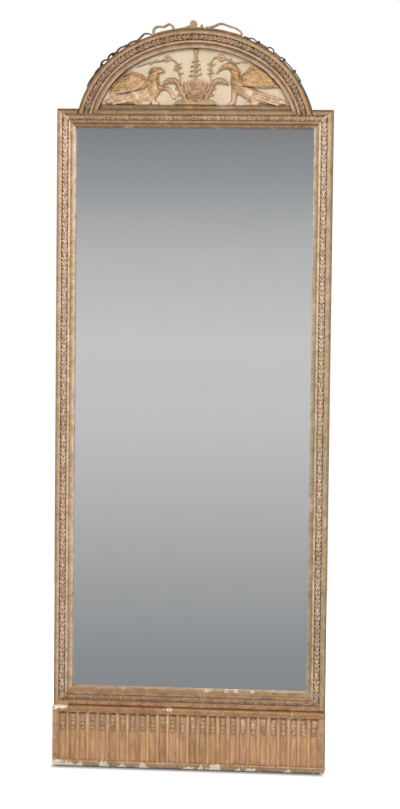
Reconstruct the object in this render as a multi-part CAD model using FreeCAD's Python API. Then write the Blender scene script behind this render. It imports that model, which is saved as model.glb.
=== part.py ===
import FreeCAD, Part
import math
import os
from FreeCAD import Vector

# A giltwood pier mirror in millimetres: +Z up, the front faces -Y, the origin under the plinth's middle.

# Glass and what holds it
sight_width = 592.0
sight_height = 1403.0
glass_thickness = 4.0
glass_lap = 9.0
glass_play = 1.0
block_depth = 6.0
block_width = 7.0
block_length = 45.0
blocks_per_stile = 5
blocks_per_rail = 2

# Backboards
board_thickness = 9.0
board_lap = 18.0
board_play = 0.5
board_count = 3
ship_lap = 10.0
nail_radius = 1.2
nail_length = 24.0
nail_head_radius = 3.2
nail_head_height = 1.5
nail_tip_play = 0.5
nails_per_stile = 4

# Moulding of frame and arch, from the sight edge outwards
sight_lip = 12.0
lip_width = 4.0
cove_width = 9.0
cove_rise = 6.0
inner_fillet_width = 4.0
leaf_channel_width = 17.0
leaf_channel_depth = 5.0
leaf_core_width = 13.0
leaf_core_rise = 3.5
outer_fillet_width = 4.0
outer_band_width = 9.0
outer_band_drop = 7.0
key_leg = 40.0
key_thickness = 3.0
key_setback = 14.0

# Arch of the crest, a three-centred curve
arch_inset = 53.5
haunch_radius = 251.5
haunch_drop = 66.0
crown_half_angle = 30.0
foot_housing = 12.0
housing_play = 0.3
panel_thickness = 12.0
panel_lap = 9.0
panel_play = 0.3
dowel_radius = 4.0
dowel_length = 36.0
dowel_setback = 20.0

# Relief on the lunette
relief_side_room = 8.4
relief_top_room = 2.5
ground_height = 10.0
ground_depth = 12.0
relief_play = 0.6
body_height = 8.0
wing_height = 11.0
leg_thickness = 8.0
paw_radius = 7.0
basket_height = 6.0
arm_height = 9.0
drooping_leaf_thickness = 6.0
rosette_radius = 15.0
rosette_height = 13.0
petal_count = 8
petal_radius = 4.5
petal_height = 11.0
staff_radius = 3.0
torch_radius = 6.5
torch_length = 22.0
serpent_thickness = 6.0
serpent_height = 8.0
stem_thickness = 3.5
stem_height = 4.5
flower_radius = 9.5
flower_height = 7.0
feather_rows = (0.2, 0.45, 0.7)
feather_groove_width = 2.0
feather_groove_depth = 3.0
head_radius = 10.0
head_height = 11.0
thigh_radius = 18.0
thigh_height = 11.0

# Ribbon cresting
ribbon_thickness = 3.0
bow_thickness = 5.0
ribbon_width = 14.0
ribbon_setback = 12.0
ribbon_seat = 0.3
knot_lobes = ((-6.0, 8.5, 20.5), (14.5, 3.0, 10.0))

# Plinth
plinth_height = 151.0
ledge_projection = 14.0
ledge_thickness = 14.0
base_thickness = 14.0
nose_radius = 4.0
side_thickness = 13.0
side_setback = 1.0
fluted_thickness = 18.0
fluted_recess = 6.0
flute_count = 26
flute_land = 8.0
flute_depth = 6.5
glue_block_leg = 26.0
glue_block_length = 45.0

# Battens and screws behind
batten_width = 46.0
batten_thickness = 18.0
crest_batten_drop = 70.0
plinth_batten_rise = 130.0
screw_radius = 2.2
screw_length = 34.0
screw_head_radius = 4.6
screw_head_depth = 3.0
screw_spread = 24.0
screw_play = 0.1

# Hanging eye and ring
ring_radius = 21.0
ring_wire = 2.6
ring_play = 0.4
eye_rim = 3.6
eye_thickness = 5.0
eye_shank_radius = 2.6
eye_shank_length = 24.0
eye_stand_off = 0.5

# Levels of the moulding, forward of the frame's back
board_front = board_thickness
glass_back = board_front + block_depth
glass_front = glass_back + glass_thickness
lip_top = glass_front + sight_lip
moulding_depth = lip_top + cove_rise
channel_floor = moulding_depth - leaf_channel_depth
band_edge = moulding_depth - outer_band_drop

# Widths of the moulding, outwards from the sight edge
fillet_inner = lip_width + cove_width
channel_inner = fillet_inner + inner_fillet_width
channel_outer = channel_inner + leaf_channel_width
band_inner = channel_outer + outer_fillet_width
moulding_width = band_inner + outer_band_width

# Heights and half widths
half_sight = sight_width / 2
half_frame = half_sight + moulding_width
frame_bottom = plinth_height
sight_bottom = frame_bottom + moulding_width
sight_top = sight_bottom + sight_height
frame_top = sight_top + moulding_width
plinth_depth = batten_thickness + moulding_depth + ledge_projection
wall = plinth_depth / 2
frame_back = batten_thickness

# Arch: each haunch turns about its own centre, the crown about one below them
spring = frame_top - haunch_drop
housing_floor = frame_top - foot_housing
half_span = half_frame - arch_inset
haunch_x = half_span - math.sqrt(haunch_radius ** 2 - haunch_drop ** 2)
crown_angle = math.radians(crown_half_angle)
crown_radius = haunch_radius + haunch_x / math.sin(crown_angle)
crown_z = spring - haunch_x / math.tan(crown_angle)
arch_top = crown_z + crown_radius
inner_haunch = haunch_radius - moulding_width
lunette_half = haunch_x + math.sqrt(inner_haunch ** 2 - haunch_drop ** 2)
lunette_height = arch_top - moulding_width - frame_top
panel_face = frame_back + panel_thickness
relief_foot = frame_top + ground_height + relief_play

UP = Vector(0, 0, 1)
FORWARD = Vector(0, -1, 0)
ACROSS = Vector(1, 0, 0)
REACH = 4 * (half_frame + sight_height)


def at(forward):
    """The Y of a plane this far in front of the wall."""
    return wall - forward


def line(a, b):
    return Part.LineSegment(a, b).toShape()


def arc(a, middle, b):
    return Part.Arc(a, middle, b).toShape()


def box(x0, x1, back, front, z0, z1):
    """A box between two X, two distances from the wall and two Z."""
    return Part.makeBox(x1 - x0, front - back, z1 - z0, Vector(x0, at(front), z0))


def prism(points, back, front):
    """A straight-sided outline in X and Z, as thick as from back to front."""
    corners = [Vector(x, at(back), z) for x, z in points]
    return Part.Face(Part.makePolygon(corners + corners[:1])).extrude(FORWARD * (front - back))


def one_solid(shapes):
    joined = shapes[0].multiFuse(shapes[1:]) if len(shapes) > 1 else shapes[0]
    return joined.removeSplitter()


def drawn_face(start, moves, place):
    """A face whose outline is lines (one point) and arcs (two points) from start."""
    edges = []
    here = start
    for move in moves:
        ends = [place(*point) for point in move]
        if len(ends) == 1:
            edges.append(line(place(*here), ends[0]))
        else:
            edges.append(arc(place(*here), ends[0], ends[1]))
        here = move[-1]
    edges.append(line(place(*here), place(*start)))
    return Part.Face(Part.Wire(edges))


# Moulding

def carved_front():
    """The front of the section from the outer fillet to the sight: fillets, leaf channel, cove and lip."""
    core_middle = (channel_inner + channel_outer) / 2
    core_out = core_middle + leaf_core_width / 2
    core_in = core_middle - leaf_core_width / 2
    turn = math.sqrt(0.5)
    return [
        [(channel_outer, moulding_depth)],
        [(channel_outer, channel_floor)],
        [(core_out, channel_floor)],
        [(core_middle, channel_floor + leaf_core_rise), (core_in, channel_floor)],
        [(channel_inner, channel_floor)],
        [(channel_inner, moulding_depth)],
        [(fillet_inner, moulding_depth)],
        [(lip_width + cove_width * turn, moulding_depth - cove_rise * turn), (lip_width, lip_top)],
        [(0, lip_top)],
    ]


def moulding_section(place, rebate):
    steps = [[point] for point in rebate]
    turn = math.sqrt(0.5)
    band_middle = (band_inner + outer_band_width * turn, band_edge + outer_band_drop * turn)
    band = [[(moulding_width, band_edge)], [band_middle, (band_inner, moulding_depth)]]
    return drawn_face((moulding_width, 0), band + carved_front() + steps, place)


def frame_rebate():
    return [(0, glass_front), (glass_lap, glass_front), (glass_lap, board_front),
            (board_lap, board_front), (board_lap, 0)]


def stile(side):
    def place(out, forward):
        return Vector(side * (half_sight + out), at(frame_back + forward), frame_bottom)
    length = UP * (frame_top - frame_bottom)
    mitred = [(half_frame, frame_bottom), (half_frame, frame_top), (half_sight, sight_top),
              (half_sight, sight_bottom)]
    keep = prism([(side * x, z) for x, z in mitred], 0, plinth_depth)
    return moulding_section(place, frame_rebate()).extrude(length).common(keep)


def rail(outer, inner):
    """A rail between two mitres, from its outer level to its sight level."""
    outward = math.copysign(1, outer - inner)

    def place(out, forward):
        return Vector(-half_frame, at(frame_back + forward), inner + outward * out)
    mitred = [(-half_frame, outer), (half_frame, outer), (half_sight, inner), (-half_sight, inner)]
    length = moulding_section(place, frame_rebate()).extrude(ACROSS * 2 * half_frame)
    return length.common(prism(mitred, 0, plinth_depth))


def foot_housings():
    """The room in the top rail for the two feet of the arch."""
    rooms = []
    for side in (-1, 1):
        centre = Vector(side * haunch_x, at(0), spring)
        ring = Part.makeCylinder(haunch_radius + housing_play, plinth_depth, centre, FORWARD)
        ring = ring.cut(Part.makeCylinder(inner_haunch - housing_play, plinth_depth, centre, FORWARD))
        x0, x1 = sorted((side * haunch_x, side * half_frame))
        rooms.append(ring.common(box(x0, x1, 0, plinth_depth, housing_floor, frame_top)))
    return rooms


def mitre_keys():
    """A thin triangular key let into each corner across its mitre."""
    keys = []
    back = frame_back + key_setback
    for side in (-1, 1):
        for corner, inward in ((frame_bottom, 1), (frame_top, -1)):
            points = [(side * half_frame, corner), (side * (half_frame - key_leg), corner),
                      (side * half_frame, corner + inward * key_leg)]
            keys.append(prism(points, back, back + key_thickness))
    return keys


# Glass and back

def mirror_plate():
    spread = glass_lap - glass_play
    return box(-half_sight - spread, half_sight + spread, frame_back + glass_back, frame_back + glass_front,
               sight_bottom - spread, sight_top + spread)


def along(low, high, count):
    """Evenly spaced middles between two ends."""
    return [low + (high - low) * (index + 0.5) / count for index in range(count)]


def glass_blocks():
    """Triangular blocks glued into the rebate behind the plate."""
    near = frame_back + board_front
    far = frame_back + glass_back
    section = [(glass_lap, far), (glass_lap - block_width, far), (glass_lap, near)]
    blocks = []
    for side in (-1, 1):
        for z in along(sight_bottom, sight_top, blocks_per_stile):
            low = z - block_length / 2
            corners = [Vector(side * (half_sight + out), at(forward), low) for out, forward in section]
            blocks.append(Part.Face(Part.makePolygon(corners + corners[:1])).extrude(UP * block_length))
    for edge, outward in ((sight_bottom, -1), (sight_top, 1)):
        for x in along(-half_sight, half_sight, blocks_per_rail):
            left = x - block_length / 2
            corners = [Vector(left, at(forward), edge + outward * out) for out, forward in section]
            blocks.append(Part.Face(Part.makePolygon(corners + corners[:1])).extrude(ACROSS * block_length))
    return blocks


board_reach = half_sight + board_lap - board_play
board_pitch = 2 * board_reach / board_count


def backboard(index):
    """One upright board, ship-lapped with its neighbours."""
    left = -board_reach + index * board_pitch
    right = left + board_pitch
    middle = frame_back + board_thickness / 2
    front = frame_back + board_front
    low = sight_bottom - board_lap + board_play
    high = sight_top + board_lap - board_play
    board = box(left, right, frame_back, front, low, high)
    if index > 0:
        board = board.cut(box(left, left + ship_lap + board_play, middle, front, low, high))
    if index < board_count - 1:
        board = one_solid([board, box(right, right + ship_lap, middle, front, low, high)])
    return board


def nail_places():
    centre = (glass_lap + board_lap) / 2
    places = []
    for index in range(board_count):
        left = -board_reach + index * board_pitch
        for x in along(left, left + board_pitch, 2):
            places += [(x, sight_bottom - centre), (x, sight_top + centre)]
    for side in (-1, 1):
        places += [(side * (half_sight + centre), z) for z in along(sight_bottom, sight_top, nails_per_stile)]
    return places


def nail(x, z):
    seat = Vector(x, at(frame_back), z)
    head = Part.makeCone(nail_head_radius, nail_head_radius / 2, nail_head_height, seat, -FORWARD)
    shank = Part.makeCylinder(nail_radius, nail_length, seat, FORWARD)
    return one_solid([head, shank])


def nail_hole(x, z):
    return Part.makeCylinder(nail_radius, nail_length + nail_tip_play, Vector(x, at(frame_back), z), FORWARD)


# Arch and lunette

def arch_point(angle, lift):
    """A point this far outside the arch, where its normal leans this many degrees from upright."""
    lean = math.radians(angle)
    if abs(angle) <= crown_half_angle:
        centre_x, centre_z, radius = 0, crown_z, crown_radius
    else:
        centre_x, centre_z, radius = math.copysign(haunch_x, angle), spring, haunch_radius
    return centre_x + (radius + lift) * math.sin(lean), centre_z + (radius + lift) * math.cos(lean)


def arch_segment(start, end):
    """A stretch of the arch between two leans, turned about that stretch's own centre."""
    middle = (start + end) / 2
    if abs(middle) < crown_half_angle:
        centre, radius = Vector(0, 0, crown_z), crown_radius
    else:
        centre, radius = Vector(math.copysign(haunch_x, middle), 0, spring), haunch_radius
    rebate = [(0, panel_thickness), (panel_lap, panel_thickness), (panel_lap, 0)]
    lean = math.radians(start)

    def place(out, forward):
        reach = radius - moulding_width + out
        x = centre.x + reach * math.sin(lean)
        return Vector(x, at(frame_back + forward), centre.z + reach * math.cos(lean))
    segment = moulding_section(place, rebate).revolve(centre, -FORWARD, end - start)
    return segment.common(box(-half_frame, half_frame, 0, plinth_depth, housing_floor, REACH))


def arch_dowels():
    """A dowel across each joint of the arch, square to the joint."""
    dowels = []
    lift = (panel_lap - moulding_width) / 2
    for side in (-1, 1):
        x, z = arch_point(side * crown_half_angle, lift)
        run = Vector(math.cos(crown_angle), 0, -side * math.sin(crown_angle))
        start = Vector(x, at(frame_back + dowel_setback), z) - run * (dowel_length / 2)
        dowels.append(Part.makeCylinder(dowel_radius, dowel_length, start, run))
    return dowels


def lunette_panel():
    edge = panel_lap - panel_play - moulding_width
    joint = crown_half_angle
    corners = [Vector(*arch_point(lean, edge)) for lean in (-90, -joint, joint, 90)]
    middles = [Vector(*arch_point(lean, edge)) for lean in (-(90 + joint) / 2, 0, (90 + joint) / 2)]

    def place(point):
        return Vector(point.x, at(frame_back), point.y)
    edges = [arc(place(corners[i]), place(middles[i]), place(corners[i + 1])) for i in range(3)]
    edges.append(line(place(corners[3]), place(corners[0])))
    board = Part.Face(Part.Wire(edges)).extrude(FORWARD * panel_thickness)
    return board.common(box(-REACH, REACH, 0, plinth_depth, frame_top, REACH))


# Relief, drawn on the lunette: across from -1 to 1, up from 0 on the ground strip to 1 under the crown

def on_lunette(across, up):
    height = frame_top + lunette_height - relief_top_room - relief_foot
    return across * (lunette_half - relief_side_room), relief_foot + up * height


def carving(points, height):
    """A raised form whose closed outline is an arc through every three points."""
    outline = [Vector(x, at(panel_face), z) for x, z in (on_lunette(*point) for point in points)]
    outline.append(outline[0])
    edges = [arc(*outline[i:i + 3]) for i in range(0, len(points), 2)]
    return Part.Face(Part.Wire(edges)).extrude(FORWARD * height)


def bent_strip(points, thickness, back, front):
    """A strip bent in X and Z: an arc through every three points, round where two arcs meet."""
    def thick(a, middle, b):
        bend = arc(*(Vector(x, at(back), z) for x, z in (a, middle, b)))
        centre = bend.Curve.Center
        start, end = bend.ParameterRange
        first, between, last = (bend.valueAt(place) for place in (start, (start + end) / 2, end))

        def shifted(point, by):
            return point + (point - centre).normalize() * by
        outer = [shifted(point, thickness / 2) for point in (first, between, last)]
        inner = [shifted(point, -thickness / 2) for point in (last, between, first)]
        edges = [arc(*outer), line(outer[2], inner[0]), arc(*inner), line(inner[2], outer[0])]
        return Part.Face(Part.Wire(edges)).extrude(FORWARD * (front - back))
    pieces = [thick(*points[i:i + 3]) for i in range(0, len(points) - 2, 2)]
    for x, z in points[::2]:
        pieces.append(Part.makeCylinder(thickness / 2, front - back, Vector(x, at(back), z), FORWARD))
    return one_solid(pieces)


def boss(across, up, radius, height):
    """A low turned dome on the lunette."""
    x, z = on_lunette(across, up)
    sphere_radius = (radius ** 2 + height ** 2) / (2 * height)
    half_turn = math.acos(1 - height / sphere_radius) / 2
    side = sphere_radius * math.sin(half_turn)
    rise = height - sphere_radius * (1 - math.cos(half_turn))

    def place(out, forward):
        return Vector(x + out, at(panel_face + forward), z)
    face = drawn_face((0, 0), [[(radius, 0)], [(side, rise), (0, height)]], place)
    return face.revolve(Vector(x, 0, z), FORWARD, 360)


def between(near, far, share):
    return near[0] + (far[0] - near[0]) * share, near[1] + (far[1] - near[1]) * share


def griffin(body, wing, upper_feather, lower_feather, head, thigh):
    """A reclining griffin: a body with swelling head and thigh, and a raised wing grooved into feathers."""
    feathers = carving(wing, wing_height)
    for share in feather_rows:
        row = [on_lunette(*between(near, far, share)) for near, far in zip(upper_feather, lower_feather)]
        front = panel_face + wing_height
        feathers = feathers.cut(bent_strip(row, feather_groove_width, front - feather_groove_depth, front))
    parts = [carving(body, body_height), feathers]
    parts.append(boss(*head, head_radius, head_height))
    parts.append(boss(*thigh, thigh_radius, thigh_height))
    return parts


def griffin_left():
    body = [(-0.955, 0.012), (-0.93, 0.10), (-0.85, 0.18), (-0.72, 0.245), (-0.53, 0.28), (-0.505, 0.37),
            (-0.50, 0.46), (-0.505, 0.56), (-0.47, 0.63), (-0.425, 0.668), (-0.365, 0.645), (-0.338, 0.605),
            (-0.336, 0.565), (-0.36, 0.58), (-0.392, 0.53), (-0.40, 0.47), (-0.385, 0.42), (-0.36, 0.36),
            (-0.375, 0.26), (-0.40, 0.14), (-0.385, 0.012), (-0.425, 0.02), (-0.465, 0.012), (-0.47, 0.07),
            (-0.50, 0.11), (-0.55, 0.11), (-0.60, 0.08), (-0.60, 0.03), (-0.62, 0.012), (-0.79, 0.006)]
    wing = [(-0.50, 0.44), (-0.575, 0.495), (-0.64, 0.565), (-0.69, 0.58), (-0.75, 0.555), (-0.835, 0.44),
            (-0.90, 0.30), (-0.935, 0.20), (-0.94, 0.15), (-0.86, 0.215), (-0.70, 0.265), (-0.60, 0.275),
            (-0.505, 0.28), (-0.49, 0.36)]
    upper_feather = [(-0.54, 0.42), (-0.70, 0.53), (-0.90, 0.24)]
    lower_feather = [(-0.54, 0.31), (-0.70, 0.30), (-0.84, 0.245)]
    parts = griffin(body, wing, upper_feather, lower_feather, (-0.425, 0.60), (-0.62, 0.165))
    raised_leg = [on_lunette(*point) for point in ((-0.385, 0.31), (-0.30, 0.285), (-0.245, 0.15))]
    parts.append(bent_strip(raised_leg, leg_thickness, panel_face, panel_face + body_height))
    parts.append(boss(-0.255, 0.125, paw_radius, body_height))
    return one_solid(parts)


def griffin_right():
    body = [(0.95, 0.012), (0.945, 0.075), (0.90, 0.125), (0.80, 0.15), (0.71, 0.215), (0.65, 0.255),
            (0.57, 0.30), (0.51, 0.40), (0.475, 0.52), (0.46, 0.61), (0.415, 0.685), (0.375, 0.745),
            (0.325, 0.735), (0.265, 0.675), (0.215, 0.55), (0.265, 0.63), (0.325, 0.65), (0.375, 0.62),
            (0.385, 0.55), (0.365, 0.46), (0.36, 0.39), (0.385, 0.31), (0.395, 0.22), (0.395, 0.10),
            (0.375, 0.012), (0.41, 0.02), (0.445, 0.012), (0.44, 0.10), (0.45, 0.18), (0.50, 0.15),
            (0.56, 0.11), (0.59, 0.07), (0.60, 0.012), (0.78, 0.006)]
    wing = [(0.465, 0.50), (0.52, 0.515), (0.545, 0.57), (0.57, 0.66), (0.61, 0.695), (0.695, 0.625),
            (0.765, 0.545), (0.84, 0.435), (0.90, 0.30), (0.82, 0.305), (0.70, 0.365), (0.61, 0.345),
            (0.545, 0.28), (0.49, 0.36)]
    upper_feather = [(0.53, 0.47), (0.66, 0.60), (0.87, 0.34)]
    lower_feather = [(0.55, 0.34), (0.68, 0.40), (0.81, 0.325)]
    return one_solid(griffin(body, wing, upper_feather, lower_feather, (0.365, 0.68), (0.62, 0.165)))


def leafy_cup():
    """A flaring basket with a petalled rosette, between two leaf arms whose tips droop outwards."""
    basket = [(-0.05, 0.03), (0.0, 0.02), (0.05, 0.03), (0.09, 0.20), (0.12, 0.43), (0.0, 0.46),
              (-0.12, 0.43), (-0.09, 0.20)]
    arm = [(0.03, 0.015), (0.085, 0.03), (0.13, 0.11), (0.175, 0.24), (0.20, 0.41), (0.17, 0.45),
           (0.14, 0.44), (0.115, 0.34), (0.075, 0.21), (0.04, 0.12)]
    droop = [(0.18, 0.41), (0.26, 0.468), (0.325, 0.41)]
    rosette_up = 0.371
    flower_up = 0.20
    parts = [carving(basket, basket_height)]
    for side in (-1, 1):
        parts.append(carving([(side * across, up) for across, up in arm], arm_height))
        tip = [on_lunette(side * across, up) for across, up in droop]
        parts.append(bent_strip(tip, drooping_leaf_thickness, panel_face, panel_face + arm_height))
    parts.append(boss(0, flower_up, flower_radius, arm_height))
    x, z = on_lunette(0, rosette_up)
    seat = Vector(x, at(panel_face), z)
    parts.append(Part.makeCylinder(rosette_radius - petal_radius, rosette_height, seat, FORWARD))
    for index in range(petal_count):
        turn = 2 * math.pi * (index + 0.5) / petal_count
        reach = rosette_radius - petal_radius
        seat = Vector(x + reach * math.cos(turn), at(panel_face), z + reach * math.sin(turn))
        parts.append(Part.makeCylinder(petal_radius, petal_height, seat, FORWARD))
    return one_solid(parts)


def serpent_staff():
    """A staff with a torch head, and a serpent wound round it in three bends."""
    x, foot = on_lunette(0, 0.49)
    head = on_lunette(0, 0.957)[1] - torch_length
    middle = at(panel_face + staff_radius)
    staff = Part.makeCylinder(staff_radius, head - foot, Vector(x, middle, foot), UP)
    torch = Part.makeCone(staff_radius, torch_radius, torch_length, Vector(x, middle, head), UP)
    torch = torch.common(box(-REACH, REACH, panel_face, plinth_depth, frame_top, arch_top))
    bends = [(0, 0.80), (-0.05, 0.762), (0, 0.723), (0.045, 0.678), (0, 0.632), (-0.068, 0.572), (0, 0.513)]
    path = [on_lunette(*bend) for bend in bends]
    serpent = bent_strip(path, serpent_thickness, panel_face, panel_face + serpent_height)
    return one_solid([staff, torch, serpent])


def flower_spray(stem, across, up):
    points = [on_lunette(*point) for point in stem]
    stalk = bent_strip(points, stem_thickness, panel_face, panel_face + stem_height)
    return one_solid([stalk, boss(across, up, flower_radius, flower_height)])


def spray_left():
    stem = [(-0.16, 0.485), (-0.19, 0.58), (-0.19, 0.683), (-0.22, 0.785), (-0.308, 0.826), (-0.43, 0.755),
            (-0.63, 0.665)]
    return flower_spray(stem, -0.308, 0.826)


def spray_right():
    stem = [(0.155, 0.485), (0.165, 0.59), (0.16, 0.70), (0.185, 0.80), (0.269, 0.841), (0.38, 0.80),
            (0.53, 0.765)]
    return flower_spray(stem, 0.269, 0.841)


def ground_strip():
    """The moulded ledge that the relief stands on, between the feet of the arch."""
    def place(forward, up):
        return Vector(-REACH, at(panel_face + forward), frame_top + up)
    turn = (1 + math.sqrt(0.5)) / 2
    rounded = [(ground_depth * turn, ground_height * turn), (ground_depth / 2, ground_height)]
    face = drawn_face((0, 0), [[(ground_depth, 0)], [(ground_depth, ground_height / 2)], rounded,
                               [(0, ground_height)]], place)
    half = haunch_x + math.sqrt((inner_haunch - relief_play) ** 2 - (haunch_drop + ground_height) ** 2)
    return face.extrude(ACROSS * 2 * REACH).common(box(-half, half, 0, plinth_depth, frame_top, arch_top))


# Ribbon cresting

def ribbon(points, thickness):
    """A ribbon on edge along the arch, from points of lean and height above its seat."""
    seat = ribbon_seat + thickness / 2
    path = [arch_point(lean, seat + height) for lean, height in points]
    back = frame_back + ribbon_setback
    return bent_strip(path, thickness, back, back + ribbon_width)


def lying_ribbon(start, end):
    return ribbon([(start, 0), ((start + end) / 2, 0), (end, 0)], ribbon_thickness)


def ribbon_tail_left():
    return ribbon([(-18.4, 0), (-19.6, 6.2), (-21.2, 8.8), (-22.7, 5.0), (-24.6, 0), (-27.0, 3.2), (-29.8, 0),
                   (-32.9, 4.8), (-36.6, 0), (-39.6, 6.0), (-42.6, 0), (-44.9, 6.6), (-48.2, 0), (-51.3, 2.0),
                   (-54.4, 0), (-57.8, 1.0), (-61.2, 0)], ribbon_thickness)


def ribbon_tail_right():
    return ribbon([(20.2, 0), (21.3, 0.5), (22.4, 0), (24.0, 4.0), (25.7, 0), (28.4, 0.7), (31.1, 0),
                   (33.2, 5.6), (35.3, 0), (37.7, 0.6), (40.1, 0), (41.7, 3.2), (43.3, 0), (46.9, 1.3),
                   (50.5, 0), (54.0, 0.9), (57.5, 0)], ribbon_thickness)


def bow_loop(points):
    """A loop of the bow over a stretch of ribbon that lies along the arch."""
    return one_solid([ribbon(points, bow_thickness), lying_ribbon(points[0][0], points[-1][0])])


def bow_loop_left():
    return bow_loop([(-17.6, 0.4), (-17.0, 9.5), (-15.4, 14.4), (-13.9, 12.3), (-12.7, 9.8), (-11.9, 11.8),
                     (-10.7, 14.2), (-9.6, 9.5), (-9.2, 0.4)])


def bow_loop_right():
    return bow_loop([(4.2, 0.4), (6.2, 3.0), (8.1, 8.8), (9.5, 13.6), (10.9, 14.8), (12.4, 13.4), (14.6, 12.4),
                     (16.9, 10.4), (18.2, 7.2), (18.7, 4.0), (18.8, 0.4)])


def bow_knot():
    """The knot: upright lobes on a stretch of ribbon that lies along the crown and swells up to them."""
    back = frame_back + ribbon_setback
    foot = arch_top + ribbon_seat + ribbon_thickness / 2
    lobes = [lying_ribbon(-8.2, 3.2), ribbon([(-6.2, 0.2), (-4.0, 2.4), (-2.2, 6.0)], ribbon_thickness)]
    for across, half, height in knot_lobes:
        peak = arch_top + height - half
        lobes.append(box(across - half, across + half, back, back + ribbon_width, foot, peak))
        lobes.append(Part.makeCylinder(half, ribbon_width, Vector(across, at(back), peak), FORWARD))
    return one_solid(lobes)


# Plinth

plinth_front = plinth_depth


def nosed_board(back, low, high):
    """A board across the plinth with a rounded upper front edge."""
    def place(forward, up):
        return Vector(-half_frame, at(forward), up)
    turn = nose_radius * (1 - math.sqrt(0.5))
    nose = [(plinth_front - turn, high - turn), (plinth_front - nose_radius, high)]
    moves = [[(plinth_front, low)], [(plinth_front, high - nose_radius)], nose, [(back, high)]]
    face = drawn_face((back, low), moves, place)
    return face.extrude(ACROSS * 2 * half_frame)


panel_front = plinth_front - side_setback - fluted_recess
panel_back = panel_front - fluted_thickness
inner_half = half_frame - side_thickness
rise_low = base_thickness
rise_high = plinth_height - ledge_thickness


def plinth_side(side):
    x0, x1 = sorted((side * inner_half, side * half_frame))
    return box(x0, x1, 0, plinth_front - side_setback, rise_low, rise_high)


def fluted_panel():
    """A board with hollow flutes between flat lands."""
    def place(across, forward):
        return Vector(across, at(forward), rise_low)
    pitch = 2 * inner_half / flute_count
    moves = []
    for index in range(flute_count):
        left = -inner_half + index * pitch
        right = left + pitch
        moves.append([(left + flute_land / 2, panel_front)])
        moves.append([(left + pitch / 2, panel_front - flute_depth), (right - flute_land / 2, panel_front)])
    moves += [[(inner_half, panel_front)], [(inner_half, panel_back)], [(-inner_half, panel_back)]]
    return drawn_face((-inner_half, panel_front), moves, place).extrude(UP * (rise_high - rise_low))


def glue_blocks():
    """Three-cornered blocks rubbed into the corners behind the fluted panel."""
    blocks = []
    for side in (-1, 1):
        corner = [(side * inner_half, panel_back), (side * (inner_half - glue_block_leg), panel_back),
                  (side * inner_half, panel_back - glue_block_leg)]
        for low in (rise_low, rise_high - glue_block_length):
            points = [Vector(x, at(forward), low) for x, forward in corner]
            blocks.append(Part.Face(Part.makePolygon(points + points[:1])).extrude(UP * glue_block_length))
    return blocks


# Battens behind

crest_batten_x = board_pitch / 2
plinth_batten_x = board_pitch


def crest_screw_height(x):
    """The middle of the arch's solid back at this X, on the crown."""
    radius = crown_radius - (moulding_width - panel_lap) / 2
    return crown_z + math.sqrt(radius ** 2 - x ** 2)


def screw_places():
    crest_rail = frame_top - (moulding_width - board_lap) / 2
    foot_rail = frame_bottom + (moulding_width - board_lap) / 2
    places = []
    for side in (-1, 1):
        for shift in (-screw_spread / 2, screw_spread / 2):
            upper = side * crest_batten_x + shift
            lower = side * plinth_batten_x + shift
            places += [(upper, crest_rail), (upper, crest_screw_height(upper))]
            places += [(lower, foot_rail), (lower, plinth_height - ledge_thickness / 2)]
    return places


def screw(x, z, play=0.0):
    """A flat-headed wood screw, its head flush with the batten's back."""
    seat = Vector(x, at(0), z)
    head = Part.makeCone(screw_head_radius + play, screw_radius + play, screw_head_depth, seat, FORWARD)
    shank = Part.makeCylinder(screw_radius + play, screw_length + play, seat, FORWARD)
    return one_solid([head, shank])


def crest_batten(side):
    x = side * crest_batten_x
    half = batten_width / 2
    top = crest_screw_height(abs(x) + half) + screw_head_radius
    return box(x - half, x + half, 0, batten_thickness, frame_top - crest_batten_drop, top)


def plinth_batten(side):
    x = side * plinth_batten_x
    half = batten_width / 2
    return box(x - half, x + half, 0, batten_thickness, rise_low, frame_bottom + plinth_batten_rise)


# Hanging eye and ring

eye_bore = ring_wire + ring_play
eye_radius = eye_bore + eye_rim
eye_z = frame_top - (moulding_width - board_lap) / 2
eye_forward = frame_back - eye_stand_off - eye_radius


def hanging_eye():
    """A forged eye with a shank driven into the back of the top rail."""
    start = Vector(-eye_thickness / 2, at(eye_forward), eye_z)
    shank_root = Vector(0, at(eye_forward + eye_bore), eye_z)
    rim = Part.makeCylinder(eye_radius, eye_thickness, start, ACROSS)
    shank_run = eye_rim + eye_stand_off + eye_shank_length
    shank = Part.makeCylinder(eye_shank_radius, shank_run, shank_root, FORWARD)
    return one_solid([rim, shank]).cut(Part.makeCylinder(eye_bore, eye_thickness, start, ACROSS))


def eye_hole():
    return Part.makeCylinder(eye_shank_radius, eye_shank_length, Vector(0, at(frame_back), eye_z), FORWARD)


def hanging_ring():
    middle = Vector(0, at(eye_forward), eye_z - ring_radius)
    return Part.makeTorus(ring_radius, ring_wire, middle, -FORWARD)


# Put together: what passes through a piece is cut from it

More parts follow.
